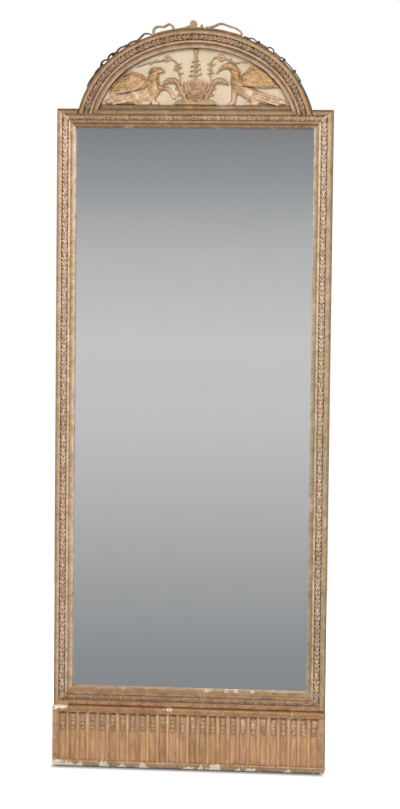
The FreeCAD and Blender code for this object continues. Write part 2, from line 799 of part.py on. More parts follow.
def build():
    nails = nail_places()
    nail_holes = [nail_hole(*place) for place in nails]
    screws = screw_places()
    screw_holes = [screw(*place, play=screw_play) for place in screws]
    keys = mitre_keys()
    dowels = arch_dowels()
    top_rail_cuts = foot_housings() + [eye_hole()]
    nodes = {
        "stile_left": stile(-1).cut(keys + nail_holes),
        "stile_right": stile(1).cut(keys + nail_holes),
        "rail_top": rail(frame_top, sight_top).cut(top_rail_cuts + keys + nail_holes + screw_holes),
        "rail_bottom": rail(frame_bottom, sight_bottom).cut(keys + nail_holes + screw_holes),
        "mitre_keys": Part.makeCompound(keys),
        "mirror_plate": mirror_plate(),
        "glass_blocks": Part.makeCompound(glass_blocks()),
        "backboard_left": backboard(0).cut(nail_holes),
        "backboard_middle": backboard(1).cut(nail_holes),
        "backboard_right": backboard(2).cut(nail_holes),
        "backboard_nails": Part.makeCompound([nail(*place) for place in nails]),
        "arch_left": arch_segment(-90, -crown_half_angle).cut(dowels),
        "arch_crown": arch_segment(-crown_half_angle, crown_half_angle).cut(dowels + screw_holes),
        "arch_right": arch_segment(crown_half_angle, 90).cut(dowels),
        "arch_dowels": Part.makeCompound(dowels),
        "lunette_panel": lunette_panel(),
        "lunette_ground": ground_strip(),
        "griffin_left": griffin_left(),
        "griffin_right": griffin_right(),
        "leafy_cup": leafy_cup(),
        "serpent_staff": serpent_staff(),
        "flower_spray_left": spray_left(),
        "flower_spray_right": spray_right(),
        "bow_knot": bow_knot(),
        "bow_loop_left": bow_loop_left(),
        "bow_loop_right": bow_loop_right(),
        "ribbon_tail_left": ribbon_tail_left(),
        "ribbon_tail_right": ribbon_tail_right(),
        "plinth_ledge": nosed_board(batten_thickness, rise_high, plinth_height).cut(screw_holes),
        "plinth_base": nosed_board(0, 0, base_thickness),
        "plinth_side_left": plinth_side(-1),
        "plinth_side_right": plinth_side(1),
        "fluted_panel": fluted_panel(),
        "plinth_glue_blocks": Part.makeCompound(glue_blocks()),
        "crest_batten_left": crest_batten(-1).cut(screw_holes),
        "crest_batten_right": crest_batten(1).cut(screw_holes),
        "plinth_batten_left": plinth_batten(-1).cut(screw_holes),
        "plinth_batten_right": plinth_batten(1).cut(screw_holes),
        "batten_screws": Part.makeCompound([screw(*place) for place in screws]),
        "hanging_eye": hanging_eye(),
        "hanging_ring": hanging_ring(),
    }
    os.makedirs("parts", exist_ok=True)
    for name, shape in nodes.items():
        shape.exportStep(f"parts/{name}.step")
        print(name, len(shape.Solids), shape.isValid(), round(shape.Volume))


build()
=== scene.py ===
import math

import bmesh
import bpy
from mathutils import Matrix, Vector


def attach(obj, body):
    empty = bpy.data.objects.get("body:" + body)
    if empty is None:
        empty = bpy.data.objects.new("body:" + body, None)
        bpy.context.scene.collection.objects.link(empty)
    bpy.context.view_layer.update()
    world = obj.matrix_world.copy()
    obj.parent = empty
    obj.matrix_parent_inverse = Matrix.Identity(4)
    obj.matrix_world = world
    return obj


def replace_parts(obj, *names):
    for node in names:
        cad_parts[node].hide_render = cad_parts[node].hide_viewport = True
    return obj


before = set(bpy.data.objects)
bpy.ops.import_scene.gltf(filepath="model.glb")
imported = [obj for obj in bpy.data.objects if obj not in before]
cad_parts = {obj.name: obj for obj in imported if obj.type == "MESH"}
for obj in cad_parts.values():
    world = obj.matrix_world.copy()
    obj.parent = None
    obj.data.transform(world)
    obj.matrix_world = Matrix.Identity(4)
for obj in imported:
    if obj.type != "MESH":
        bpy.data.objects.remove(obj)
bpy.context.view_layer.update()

# Frame mouldings: two stiles and two rails of pine, run with a lip, a cove, fillets and a leaf channel.
# They are mitred and keyed, laid with gesso and reddish bole, water-gilded, and worn pale where proud.
# Their backs and rebates were left as bare, darkened wood.
HALF_SIGHT = 0.296
SIGHT_LOW, SIGHT_HIGH = 0.198, 1.601
MOULDING = 0.047
GOLD = (0.60, 0.405, 0.235, 1)
DULL_GOLD = (0.47, 0.315, 0.18, 1)
OLIVE = (0.48, 0.325, 0.12, 1)
PINK = (0.70, 0.475, 0.37, 1)
BOLE = (0.33, 0.165, 0.095, 1)
GESSO = (0.86, 0.78, 0.64, 1)
CLEAN_GESSO = (1.0, 0.86, 0.68, 1)
GRIME_AND_SHADE = (0.085, 0.050, 0.026, 1)
BARE_PINE = (0.30, 0.185, 0.095, 1)
DARK_PINE = (0.17, 0.10, 0.052, 1)
UPRIGHT_GRAIN, LEVEL_GRAIN, NO_GRAIN = (1, 1, 0.06), (0.06, 1, 1), (1, 1, 1)
PAINT_SHARE = 0.82
METAL_SHARE = 0.34
HOLLOW_REACH = 0.009
WORN_EDGE = 0.0016
KNOCK_SHAPE = (1, 0.2, 0.6)


def add(tree, kind, **settings):
    """A node with its settings, and its unlinked sockets by name."""
    node = tree.nodes.new(kind)
    sockets = settings.pop("sockets", {})
    for name, value in settings.items():
        setattr(node, name, value)
    for name, value in sockets.items():
        if isinstance(value, bpy.types.NodeSocket):
            tree.links.new(value, node.inputs[name])
        else:
            node.inputs[name].default_value = value
    return node


def joined(tree, node, values):
    """Links or sets a node's inputs by number."""
    for index, value in values:
        if isinstance(value, bpy.types.NodeSocket):
            tree.links.new(value, node.inputs[index])
        else:
            node.inputs[index].default_value = value
    return node


def mixed(tree, share, under, over, blend="MIX"):
    """One colour over another, by a share."""
    node = add(tree, "ShaderNodeMix", data_type="RGBA", blend_type=blend)
    return joined(tree, node, ((0, share), (6, under), (7, over))).outputs[2]


def ramped(tree, value, low, high, least=0.0, most=1.0):
    """The least below low, the most above high, and straight between them."""
    node = add(tree, "ShaderNodeMapRange",
               sockets={"Value": value, "From Min": low, "From Max": high,
                        "To Min": least, "To Max": most})
    return node.outputs["Result"]


def reckoned(tree, operation, a, b=0.0):
    """One step of arithmetic."""
    node = add(tree, "ShaderNodeMath", operation=operation)
    return joined(tree, node, ((0, a), (1, b))).outputs[0]


def measured(tree, operation, *vectors):
    """The outputs of one step of vector arithmetic."""
    node = add(tree, "ShaderNodeVectorMath", operation=operation)
    return joined(tree, node, enumerate(vectors)).outputs


def cloudy(tree, place, scale, detail, rough):
    """Soft noise at a scale."""
    node = add(tree, "ShaderNodeTexNoise",
               sockets={"Vector": place, "Scale": scale, "Detail": detail, "Roughness": rough})
    return node.outputs["Fac"]


def stretched(tree, place, scale):
    """Coordinates squeezed along some axes, so that what is drawn on them lies long."""
    node = add(tree, "ShaderNodeMapping", sockets={"Vector": place, "Scale": scale})
    return node.outputs["Vector"]


def split(tree, place):
    """The three coordinates of a place."""
    return add(tree, "ShaderNodeSeparateXYZ", sockets={"Vector": place}).outputs


def finish_named(name):
    """An empty material with its tree, its shader and the object's own coordinates."""
    finish = bpy.data.materials.new(name)
    finish.use_nodes = True
    tree = finish.node_tree
    shader = next(node for node in tree.nodes if node.type == "BSDF_PRINCIPLED")
    place = tree.nodes.new("ShaderNodeTexCoord").outputs["Object"]
    return finish, tree, shader, place


def banded(tree, value, stops):
    """Colours along a value, each from its stop to the next."""
    node = tree.nodes.new("ShaderNodeValToRGB")
    tree.links.new(value, node.inputs["Fac"])
    elements = node.color_ramp.elements
    for element, (where, colour) in zip((elements[0], elements[1]), (stops[0], stops[-1])):
        element.position = where
        element.color = colour
    for where, colour in stops[1:-1]:
        elements.new(where).color = colour
    return node.outputs["Color"]


def wood_colour(tree, place, along, light=BARE_PINE, dark=DARK_PINE):
    """Darkened pine with its grain drawn out along one axis."""
    grain_place = stretched(tree, place, along)
    figure = cloudy(tree, grain_place, 46, 3, 0.55)
    fibre = cloudy(tree, grain_place, 420, 2, 0.6)
    stain = cloudy(tree, place, 5, 3, 0.5)
    rings = reckoned(tree, "FRACT", reckoned(tree, "MULTIPLY", figure, 7.0))
    colour = mixed(tree, ramped(tree, rings, 0.1, 1.0), light, dark)
    colour = mixed(tree, ramped(tree, fibre, 0.35, 0.8), colour, dark)
    colour = mixed(tree, ramped(tree, stain, 0.5, 0.85), colour, GRIME_AND_SHADE)
    return colour, fibre


def gilding(name, gold=GOLD, dull=DULL_GOLD, chips=0.35, grime_and_shade=1.0, along=UPRIGHT_GRAIN, paint=None,
            tone=1.0, tint=(1.0, 0.93, 0.84), contrast=0.32, bared=None, drawn=NO_GRAIN):
    """Worn water gilding: mottled gold, bole and gesso on edges, dirt and painted shade in hollows, bare
    wood behind.
    """
    finish, tree, shader, place = finish_named(name)
    rubbed = stretched(tree, place, drawn)
    patches = cloudy(tree, rubbed, 9, 4, 0.6)
    casts = cloudy(tree, rubbed, 24, 4, 0.62)
    blotches = cloudy(tree, rubbed, 46, 5, 0.66)
    mottle = cloudy(tree, rubbed, 120, 5, 0.7)
    specks = cloudy(tree, place, 340, 3, 0.7)
    colour = mixed(tree, ramped(tree, patches, 0.38, 0.62), gold, dull)
    if paint:
        colour = mixed(tree, PAINT_SHARE, colour, paint(tree, place, mottle))
    colour = mixed(tree, ramped(tree, casts, 0.50, 0.68, 0, 0.48), colour, OLIVE)
    colour = mixed(tree, ramped(tree, casts, 0.48, 0.32, 0, 0.5), colour, PINK)
    colour = mixed(tree, ramped(tree, blotches, 0.52, 0.74, 0, 0.5), colour, BOLE)
    colour = mixed(tree, ramped(tree, specks, 0.58, 0.80, 0, 0.55), colour, GESSO)
    flecks = ramped(tree, mottle, 0.28, 0.72, (1 - contrast) * tone, (1 + contrast) * tone)
    shade = reckoned(tree, "MULTIPLY", flecks, ramped(tree, blotches, 0.3, 0.7, 1.14, 0.86))
    tinted = {light: reckoned(tree, "MULTIPLY", shade, share)
              for light, share in zip(("Red", "Green", "Blue"), tint)}
    shading = add(tree, "ShaderNodeCombineColor", sockets=tinted).outputs["Color"]
    colour = mixed(tree, 1.0, colour, shading, "MULTIPLY")
    # Hollows found by ambient occlusion are darkened: painted shade, and dirt as well.
    shut = add(tree, "ShaderNodeAmbientOcclusion", samples=12,
               sockets={"Distance": HOLLOW_REACH}).outputs["AO"]
    hollow = ramped(tree, shut, 0.80, 0.22, 0, 0.75 * grime_and_shade)
    colour = mixed(tree, hollow, colour, GRIME_AND_SHADE)
    turned = add(tree, "ShaderNodeBevel", samples=6, sockets={"Radius": WORN_EDGE}).outputs["Normal"]
    straight = tree.nodes.new("ShaderNodeNewGeometry").outputs["Normal"]
    facing = measured(tree, "DOT_PRODUCT", turned, straight)["Value"]
    edge = ramped(tree, facing, 0.985, 0.86)
    open_edge = reckoned(tree, "MULTIPLY", edge, ramped(tree, shut, 0.55, 0.8))
    knocked = cloudy(tree, place, 34, 5, 0.7)
    worn = reckoned(tree, "MULTIPLY", open_edge, ramped(tree, knocked, 0.46, 0.56, 0, 0.5))
    colour = mixed(tree, worn, colour, BOLE)
    chipped = reckoned(tree, "MULTIPLY", open_edge,
                       ramped(tree, knocked, 0.68 - 0.3 * chips, 0.73 - 0.3 * chips))
    colour = mixed(tree, chipped, colour, GESSO)
    if bared:
        bald = bared(tree, place)
        colour = mixed(tree, bald, colour, CLEAN_GESSO)
        chipped = reckoned(tree, "MAXIMUM", chipped, bald)
    behind = ramped(tree, split(tree, straight)["Y"], 0.5, 0.7)
    colour = mixed(tree, behind, colour, wood_colour(tree, place, along)[0])
    tree.links.new(colour, shader.inputs["Base Color"])
    dulled = reckoned(tree, "MAXIMUM", reckoned(tree, "MAXIMUM", hollow, chipped), behind)
    tree.links.new(ramped(tree, dulled, 0.0, 1.0, METAL_SHARE, 0.0), shader.inputs["Metallic"])
    gloss = ramped(tree, mottle, 0.3, 0.7, 0.38, 0.62)
    tree.links.new(reckoned(tree, "MAXIMUM", gloss, reckoned(tree, "MULTIPLY", dulled, 0.8)),
                   shader.inputs["Roughness"])
    unevenness = reckoned(tree, "ADD", reckoned(tree, "MULTIPLY", mottle, 0.7),
                          reckoned(tree, "MULTIPLY", specks, 0.4))
    unevenness = reckoned(tree, "SUBTRACT", unevenness, reckoned(tree, "MULTIPLY", chipped, 0.5))
    bump = add(tree, "ShaderNodeBump",
               sockets={"Height": unevenness, "Strength": 0.4, "Distance": 0.0014})
    tree.links.new(bump.outputs["Normal"], shader.inputs["Normal"])
    return finish


def clothe(finish, *names):
    """Gives CAD nodes a finish, in every slot that they have."""
    for name in names:
        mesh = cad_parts[name].data
        if not mesh.materials:
            mesh.materials.append(finish)
        for index in range(len(mesh.materials)):
            mesh.materials[index] = finish


def section_paint(tree, out, mottle, lip=(0.66, 0.56, 0.47, 1), cove=(0.55, 0.39, 0.215, 1),
                  shaded=(0.40, 0.265, 0.125, 1), fillet=(0.78, 0.59, 0.42, 1),
                  channel=(0.42, 0.285, 0.22, 1), outer_fillet=(0.66, 0.465, 0.31, 1),
                  edge=(0.40, 0.26, 0.13, 1)):
    """Each member's colour by how far it lies out from the sight edge: aged gilding, with a band of
    painted shade down the cove.
    """
    uneven = reckoned(tree, "ADD", out, ramped(tree, mottle, 0.3, 0.7, -0.0007, 0.0007))
    stops = ((0.0, lip), (0.0042, lip), (0.0052, cove), (0.0080, cove), (0.0092, shaded),
             (0.0112, shaded), (0.0120, fillet), (0.0178, fillet), (0.0184, channel), (0.0336, channel),
             (0.0342, outer_fillet), (0.0382, outer_fillet), (0.0405, edge), (MOULDING, edge))
    share = reckoned(tree, "DIVIDE", uneven, MOULDING)
    return banded(tree, share, [(where / MOULDING, colour) for where, colour in stops])


def off_sight(tree, z):
    """How far a height lies above or below the opening."""
    off_middle = reckoned(tree, "SUBTRACT", z, (SIGHT_LOW + SIGHT_HIGH) / 2)
    return reckoned(tree, "SUBTRACT", reckoned(tree, "ABSOLUTE", off_middle),
                    (SIGHT_HIGH - SIGHT_LOW) / 2)


def frame_paint(tree, place, mottle, **aged_and_shaded):
    """The colours of a stile or rail, out from its sight edge, with the painted light and shade of its
    members.
    """
    x, _, z = split(tree, place)
    aside = reckoned(tree, "SUBTRACT", reckoned(tree, "ABSOLUTE", x), HALF_SIGHT)
    return section_paint(tree, reckoned(tree, "MAXIMUM", aside, off_sight(tree, z)), mottle, **aged_and_shaded)


# Painted shade: the top rail's lip, which faces down, is near black, and its cove, fillets and edge are
# darkened.
def top_paint(tree, place, mottle):
    return frame_paint(tree, place, mottle, lip=(0.13, 0.105, 0.09, 1), cove=(0.42, 0.30, 0.165, 1),
                       fillet=(0.46, 0.335, 0.235, 1), channel=(0.54, 0.39, 0.28, 1),
                       outer_fillet=(0.42, 0.30, 0.185, 1), edge=(0.30, 0.20, 0.105, 1))


def ragged(tree, place, reach):
    """A fine unevenness for the rims of chips."""
    return ramped(tree, cloudy(tree, place, 150, 3, 0.6), 0.3, 0.7, -reach, reach)


def knocked_off(tree, place, scale, low, high):
    """Long patches, as knocks along a level edge leave them."""
    patch = cloudy(tree, stretched(tree, place, KNOCK_SHAPE), scale, 4, 0.6)
    return ramped(tree, reckoned(tree, "ADD", patch, ragged(tree, place, 0.05)), low, high)


def lip_bared(tree, place):
    """Gesso in chips along the bottom rail's lip."""
    at_lip = ramped(tree, split(tree, place)["Z"], SIGHT_LOW - 0.007, SIGHT_LOW - 0.003)
    return reckoned(tree, "MULTIPLY", at_lip, knocked_off(tree, place, 23, 0.62, 0.65))


# Painted light: the bottom rail's outer edge is pale, against the shade where the rail meets the ledge.
def bottom_paint(tree, place, mottle):
    return frame_paint(tree, place, mottle, lip=(0.68, 0.55, 0.42, 1), cove=(0.46, 0.29, 0.14, 1),
                       shaded=(0.42, 0.255, 0.115, 1), fillet=(0.56, 0.39, 0.25, 1),
                       channel=(0.52, 0.38, 0.24, 1), edge=(0.92, 0.72, 0.52, 1))


# Painted shade: the right stile's lip, cove and outer members are darker than the left's, on faces turned
# from the light.
def right_paint(tree, place, mottle):
    return frame_paint(tree, place, mottle, lip=(0.43, 0.38, 0.38, 1), cove=(0.40, 0.285, 0.18, 1),
                       shaded=(0.34, 0.235, 0.13, 1), outer_fillet=(0.48, 0.335, 0.235, 1),
                       edge=(0.56, 0.39, 0.245, 1))


# The four copies of one gilding differ in tone and tint, which paints in light and shade: the left stile
# lightest, the rails darker.
left_gilding = gilding("left_gilding", paint=frame_paint, chips=0.55, tone=1.17, tint=(1.0, 0.97, 0.94))
right_gilding = gilding("right_gilding", paint=right_paint, chips=0.55, tone=1.08, tint=(0.98, 1.0, 0.90))
top_gilding = gilding("top_gilding", paint=top_paint, along=LEVEL_GRAIN, grime_and_shade=0.3, tone=0.78,
                      tint=(1.0, 0.86, 0.70))
bottom_gilding = gilding("bottom_gilding", paint=bottom_paint, bared=lip_bared, chips=0.7, grime_and_shade=0.08,
                         along=LEVEL_GRAIN, tone=0.86, tint=(1.0, 0.85, 0.69))
clothe(left_gilding, "stile_left")
clothe(right_gilding, "stile_right")
clothe(top_gilding, "rail_top")
clothe(bottom_gilding, "rail_bottom")

# Leaf bands of the frame: laurel in bundles of overlapping leaves with berries, pressed in compo.
# They are glued along the channel of each moulding, growing up the stiles and to the middle of the rails,
# where a crossed tie holds them, and a single leaf covers each mitre.
BAND_OUT = 0.0255
BAND_FLOOR = -0.0155
LEAF_PITCH = 0.0325
MITRE_GAP, TOP_GAP = 0.012, 0.014
TIE_REACH, TIE_SLANT, TIE_LIFT = 0.0078, 0.006, 0.0034
MM = 0.001
PALE_LEAF, DULL_LEAF = (1.0, 0.79, 0.61, 1), (0.80, 0.59, 0.435, 1)
OUT = Vector((0, -1, 0))


def leaf(bm, foot, tip, width, thickness, groove=0.5, bow=0.0):
    """A closed laurel leaf from foot to tip with a sunk midrib, bowed sideways."""
    along = tip - foot
    across = along.cross(OUT).normalized()
    made = bmesh.ops.create_uvsphere(bm, u_segments=8, v_segments=5, radius=1)["verts"]
    for vert in made:
        if abs(vert.co.x) < 0.1 and vert.co.y > 0:
            vert.co.y *= groove
        vert.co.x += bow * (1 - vert.co.z ** 2)
    turn = Matrix((across * width / 2, OUT * thickness / 2, along / 2)).transposed().to_4x4()
    bmesh.ops.transform(bm, matrix=Matrix.Translation((foot + tip) / 2) @ turn, verts=made)


def berry(bm, centre, radius):
    """A small round fruit."""
    bmesh.ops.create_icosphere(bm, subdivisions=1, radius=radius, matrix=Matrix.Translation(centre))


def pattern_of(bm, name):
    """The mould that a repeated ornament is pressed from."""
    pattern = bpy.data.meshes.new(name)
    bm.to_mesh(pattern)
    bm.free()
    return pattern


def press(bm, pattern, foot, along):
    """Presses one copy of a mould, turned from upright to lie along a direction on the wall's plane."""
    across = along.cross(OUT).normalized()
    cast = pattern.copy()
    cast.transform(Matrix.Translation(foot) @ Matrix((across, -OUT, along)).transposed().to_4x4())
    bm.from_mesh(cast)
    bpy.data.meshes.remove(cast)


def in_mould(forth, aside, lift):
    """A place in a mould, by millimetres forth, aside and up from its floor."""
    return Vector((aside, -lift, forth)) * MM


bm = bmesh.new()
for foot, length, spread in ((0, 14, 7.2), (10.8, 13.5, 6.8), (21.6, 13, 5.8)):
    for side in (-1, 1):
        leaf(bm, in_mould(foot, 0.7 * side, 1.0), in_mould(foot + length, spread * side, 3.6),
             0.0037, 0.0052, bow=-0.35 * side)
leaf(bm, in_mould(17, 0, 2.8), in_mould(34, 0, 4.6), 0.0042, 0.0046)
for side in (-1, 1):
    berry(bm, in_mould(5.5, 6.2 * side, 1.4), 0.0018)
leaf_bundle = pattern_of(bm, "leaf_bundle")


def crossed_tie(bm, middle, along):
    """A ribbon wound twice over the band where two growths meet."""
    across = along.cross(OUT).normalized()
    for lean in (-1, 1):
        start = middle - across * TIE_REACH - along * TIE_SLANT * lean + OUT * TIE_LIFT
        end = middle + across * TIE_REACH + along * TIE_SLANT * lean + OUT * TIE_LIFT
        leaf(bm, start, end, 0.006, 0.005, groove=0.8)
    berry(bm, middle + OUT * 0.0038, 0.0028)


def piece_from(bm, name, finish):
    """A finished mesh piece that rides the mirror and fills its gilding slot."""
    bmesh.ops.recalc_face_normals(bm, faces=bm.faces)
    for face in bm.faces:
        face.smooth = True
    mesh = bpy.data.meshes.new(name)
    bm.to_mesh(mesh)
    bm.free()
    mesh.materials.append(finish)
    piece = bpy.data.objects.new(name, mesh)
    bpy.context.scene.collection.objects.link(piece)
    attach(piece, "mirror")
    return piece


def growth(bm, start, end):
    """Bundles in a row from start towards end."""
    run = end - start
    count = max(1, round(run.length / LEAF_PITCH))
    for index in range(count):
        press(bm, leaf_bundle, start + run * (index / count), run.normalized())


def upright_leaf_paint(tree, place, mottle):
    """Pale leaves, browned where the bands meet over the mitres."""
    z = split(tree, place)["Z"]
    at_mitre = ramped(tree, off_sight(tree, z), 0.012, 0.017)
    pale = mixed(tree, ramped(tree, mottle, 0.35, 0.65), PALE_LEAF, DULL_LEAF)
    return mixed(tree, at_mitre, pale, (0.38, 0.265, 0.175, 1))


upright_leaf_gilding = gilding("upright_leaf_gilding", gold=PALE_LEAF, dull=DULL_LEAF, chips=0.2,
                               grime_and_shade=0.72, paint=upright_leaf_paint, tone=1.1,
                               tint=(1.0, 0.94, 0.91), contrast=0.55)
level_leaf_gilding = gilding("level_leaf_gilding", gold=(0.53, 0.37, 0.25, 1), dull=(0.42, 0.29, 0.19, 1),
                             chips=0.2, grime_and_shade=0.5, along=LEVEL_GRAIN, contrast=0.5)
corner_low, corner_high = SIGHT_LOW - BAND_OUT, SIGHT_HIGH + BAND_OUT
corner_out = HALF_SIGHT + BAND_OUT
for side, name in ((-1, "leaf_band_left"), (1, "leaf_band_right")):
    bm = bmesh.new()
    x = side * corner_out
    growth(bm, Vector((x, BAND_FLOOR, corner_low + MITRE_GAP)),
           Vector((x, BAND_FLOOR, corner_high - TOP_GAP)))
    for z, rise in ((corner_low, -1), (corner_high, 1)):
        lean = Vector((side, 0, rise)) * 0.0085
        middle = Vector((x, BAND_FLOOR - 0.0028, z))
        leaf(bm, middle - lean, middle + lean, 0.010, 0.005)
        for turn in (-1, 1):
            aside = Vector((-rise * side * turn, 0, turn)) * 0.0055
            berry(bm, middle + aside + OUT * -0.001, 0.0026)
    piece_from(bm, name, upright_leaf_gilding)
for z, name in ((corner_high, "leaf_band_top"), (corner_low, "leaf_band_bottom")):
    bm = bmesh.new()
    for side in (-1, 1):
        growth(bm, Vector((side * (corner_out - MITRE_GAP), BAND_FLOOR, z)),
               Vector((side * MITRE_GAP, BAND_FLOOR, z)))
    crossed_tie(bm, Vector((0, BAND_FLOOR, z)), Vector((1, 0, 0)))
    piece_from(bm, name, level_leaf_gilding)

# Mirror plate: a single sheet of silvered glass in the rebate, held by the blocks behind it.
# The silvering is old, so it is a touch grey and foxed in pin spots along its edges.
silvering, tree, shader, place = finish_named("silvering")
spots = cloudy(tree, place, 190, 3, 0.6)
spread = cloudy(tree, place, 9, 3, 0.5)
foxed = reckoned(tree, "MULTIPLY", ramped(tree, spots, 0.70, 0.76, 0, 0.35),
                 ramped(tree, spread, 0.52, 0.66))
colour = mixed(tree, ramped(tree, spread, 0.3, 0.8), (0.965, 0.965, 0.965, 1), (0.945, 0.95, 0.95, 1))
colour = mixed(tree, foxed, colour, (0.30, 0.27, 0.23, 1))
tree.links.new(colour, shader.inputs["Base Color"])
shader.inputs["Metallic"].default_value = 1.0
tree.links.new(ramped(tree, spread, 0.2, 0.8, 0.01, 0.035), shader.inputs["Roughness"])
clothe(silvering, "mirror_plate")

# Glazing blocks, backboards and mitre keys: sawn pine that nobody was meant to see.
# The blocks are glued behind the plate, and the three boards lie ship-lapped in the rebate.
def pine(name, light=BARE_PINE, dark=DARK_PINE):
    """Sawn pine, darkened in its corners: painted shade, and dirt as well."""
    finish, tree, shader, place = finish_named(name)
    colour, fibre = wood_colour(tree, place, UPRIGHT_GRAIN, light, dark)
    # Ambient occlusion darkens the corners towards a dark brown: painted shade, and dirt as well.
    shut = add(tree, "ShaderNodeAmbientOcclusion", samples=8, sockets={"Distance": 0.02}).outputs["AO"]
    colour = mixed(tree, ramped(tree, shut, 0.8, 0.3, 0, 0.7), colour, GRIME_AND_SHADE)
    tree.links.new(colour, shader.inputs["Base Color"])
    tree.links.new(ramped(tree, fibre, 0.0, 1.0, 0.68, 0.9), shader.inputs["Roughness"])
    bump = add(tree, "ShaderNodeBump", sockets={"Height": fibre, "Strength": 0.4, "Distance": 0.001})
    tree.links.new(bump.outputs["Normal"], shader.inputs["Normal"])
    return finish


upright_pine = pine("upright_pine")
clothe(upright_pine, "mitre_keys", "glass_blocks")
for name, light, dark in (("backboard_left", (0.36, 0.235, 0.125, 1), (0.22, 0.135, 0.068, 1)),
                          ("backboard_middle", (0.29, 0.18, 0.092, 1), (0.18, 0.108, 0.054, 1)),
                          ("backboard_right", (0.41, 0.28, 0.155, 1), (0.25, 0.155, 0.08, 1))):
    clothe(pine(name + "_pine", light=light, dark=dark), name)

# Nails of the backboards: hand-forged iron with small heads, rusted brown.
# They are driven through the boards into the rebate of the frame.
rusted_iron, tree, shader, place = finish_named("rusted_iron")
scale = cloudy(tree, place, 160, 5, 0.7)
rust = ramped(tree, scale, 0.46, 0.68)
colour = mixed(tree, rust, (0.16, 0.15, 0.145, 1), (0.20, 0.085, 0.035, 1))
tree.links.new(colour, shader.inputs["Base Color"])
tree.links.new(ramped(tree, rust, 0.0, 1.0, 0.9, 0.0), shader.inputs["Metallic"])
tree.links.new(ramped(tree, rust, 0.0, 1.0, 0.42, 0.85), shader.inputs["Roughness"])
bump = add(tree, "ShaderNodeBump", sockets={"Height": scale, "Strength": 0.5, "Distance": 0.0008})
tree.links.new(bump.outputs["Normal"], shader.inputs["Normal"])
clothe(rusted_iron, "backboard_nails")

# Arch of the crest: the frame's moulding again, sawn from three pieces, dowelled and glued end to end.
# Its feet are housed in the top rail, and its leaves climb from both feet to a tie at the crown.
SPRING = 1.582
HAUNCH_RADIUS = 0.2515
ARCH_FOOT_X, ARCH_FOOT_RISE = 0.2895, 0.066
HAUNCH_X = ARCH_FOOT_X - math.sqrt(HAUNCH_RADIUS ** 2 - ARCH_FOOT_RISE ** 2)
CROWN_LEAN = math.radians(30)
CROWN_RADIUS = HAUNCH_RADIUS + HAUNCH_X / math.sin(CROWN_LEAN)
CROWN_Z = SPRING - HAUNCH_X / math.tan(CROWN_LEAN)
FOOT_LEAN, TIE_LEAN = math.radians(74), math.radians(3.4)


def arch_paint(tree, place, mottle):
    """The colours of the arch's moulding, painted shade included, out from its inner edge, on the crown
    and on the haunches.
    """
    flat = measured(tree, "MULTIPLY", place, (1, 0, 1))[0]
    folded = measured(tree, "ABSOLUTE", flat)[0]

    def out_from(centre, radius):
        reach = measured(tree, "DISTANCE", folded, centre)["Value"]
        return reckoned(tree, "SUBTRACT", reach, radius - MOULDING)

    x, _, z = split(tree, folded)
    joint = reckoned(tree, "MULTIPLY", reckoned(tree, "SUBTRACT", z, CROWN_Z), math.tan(CROWN_LEAN))
    haunch = reckoned(tree, "GREATER_THAN", x, joint)
    crown_out = out_from((0, 0, CROWN_Z), CROWN_RADIUS)
    haunch_out = out_from((HAUNCH_X, 0, SPRING), HAUNCH_RADIUS)
    more = reckoned(tree, "MULTIPLY", haunch, reckoned(tree, "SUBTRACT", haunch_out, crown_out))
    return section_paint(tree, reckoned(tree, "ADD", crown_out, more), mottle,
                         channel=(0.34, 0.235, 0.17, 1))


arch_gilding = gilding("arch_gilding", paint=arch_paint, along=NO_GRAIN, tone=0.68, tint=(1.0, 0.88, 0.76))
clothe(arch_gilding, "arch_left", "arch_crown", "arch_right")
clothe(upright_pine, "arch_dowels")


def on_arch(lean, lift):
    """A place this far outside the arch's edge, where its normal leans this much from upright."""
    crown = abs(lean) <= CROWN_LEAN
    radius = (CROWN_RADIUS if crown else HAUNCH_RADIUS) + lift
    x = 0 if crown else math.copysign(HAUNCH_X, lean)
    z = CROWN_Z if crown else SPRING
    return Vector((x + radius * math.sin(lean), 0, z + radius * math.cos(lean)))


def arch_growth(bm, side):
    """Bundles from the foot of one haunch to the crown."""
    lift = BAND_OUT - MOULDING
    lean = FOOT_LEAN
    while lean > TIE_LEAN:
        along = Vector((-side * math.cos(lean), 0, math.sin(lean)))
        press(bm, leaf_bundle, on_arch(side * lean, lift) + Vector((0, BAND_FLOOR, 0)), along)
        lean -= LEAF_PITCH / ((CROWN_RADIUS if lean <= CROWN_LEAN else HAUNCH_RADIUS) + lift)


bm = bmesh.new()
for side in (-1, 1):
    arch_growth(bm, side)
crossed_tie(bm, on_arch(0, BAND_OUT - MOULDING) + Vector((0, BAND_FLOOR, 0)), Vector((1, 0, 0)))
piece_from(bm, "leaf_band_arch", level_leaf_gilding)

# Lunette panel: a sawn board let into the back of the arch, gessoed and painted cream.
# The paint has yellowed, with fine cracks, and a dark painted shade lies round the foot of the relief.
cream_paint, tree, shader, place = finish_named("cream_paint")
tone = cloudy(tree, place, 14, 4, 0.6)
cloud = cloudy(tree, place, 90, 5, 0.65)
colour = mixed(tree, ramped(tree, tone, 0.35, 0.68), (0.80, 0.655, 0.475, 1), (0.72, 0.57, 0.39, 1))
colour = mixed(tree, ramped(tree, cloud, 0.5, 0.8, 0, 0.4), colour, (0.54, 0.385, 0.24, 1))
cracks = add(tree, "ShaderNodeTexVoronoi", feature="DISTANCE_TO_EDGE",
             sockets={"Vector": place, "Scale": 95})
crack = reckoned(tree, "MULTIPLY", ramped(tree, cracks.outputs["Distance"], 0.035, 0.0),
                 ramped(tree, tone, 0.42, 0.6))
colour = mixed(tree, reckoned(tree, "MULTIPLY", crack, 0.3), colour, (0.36, 0.24, 0.14, 1))
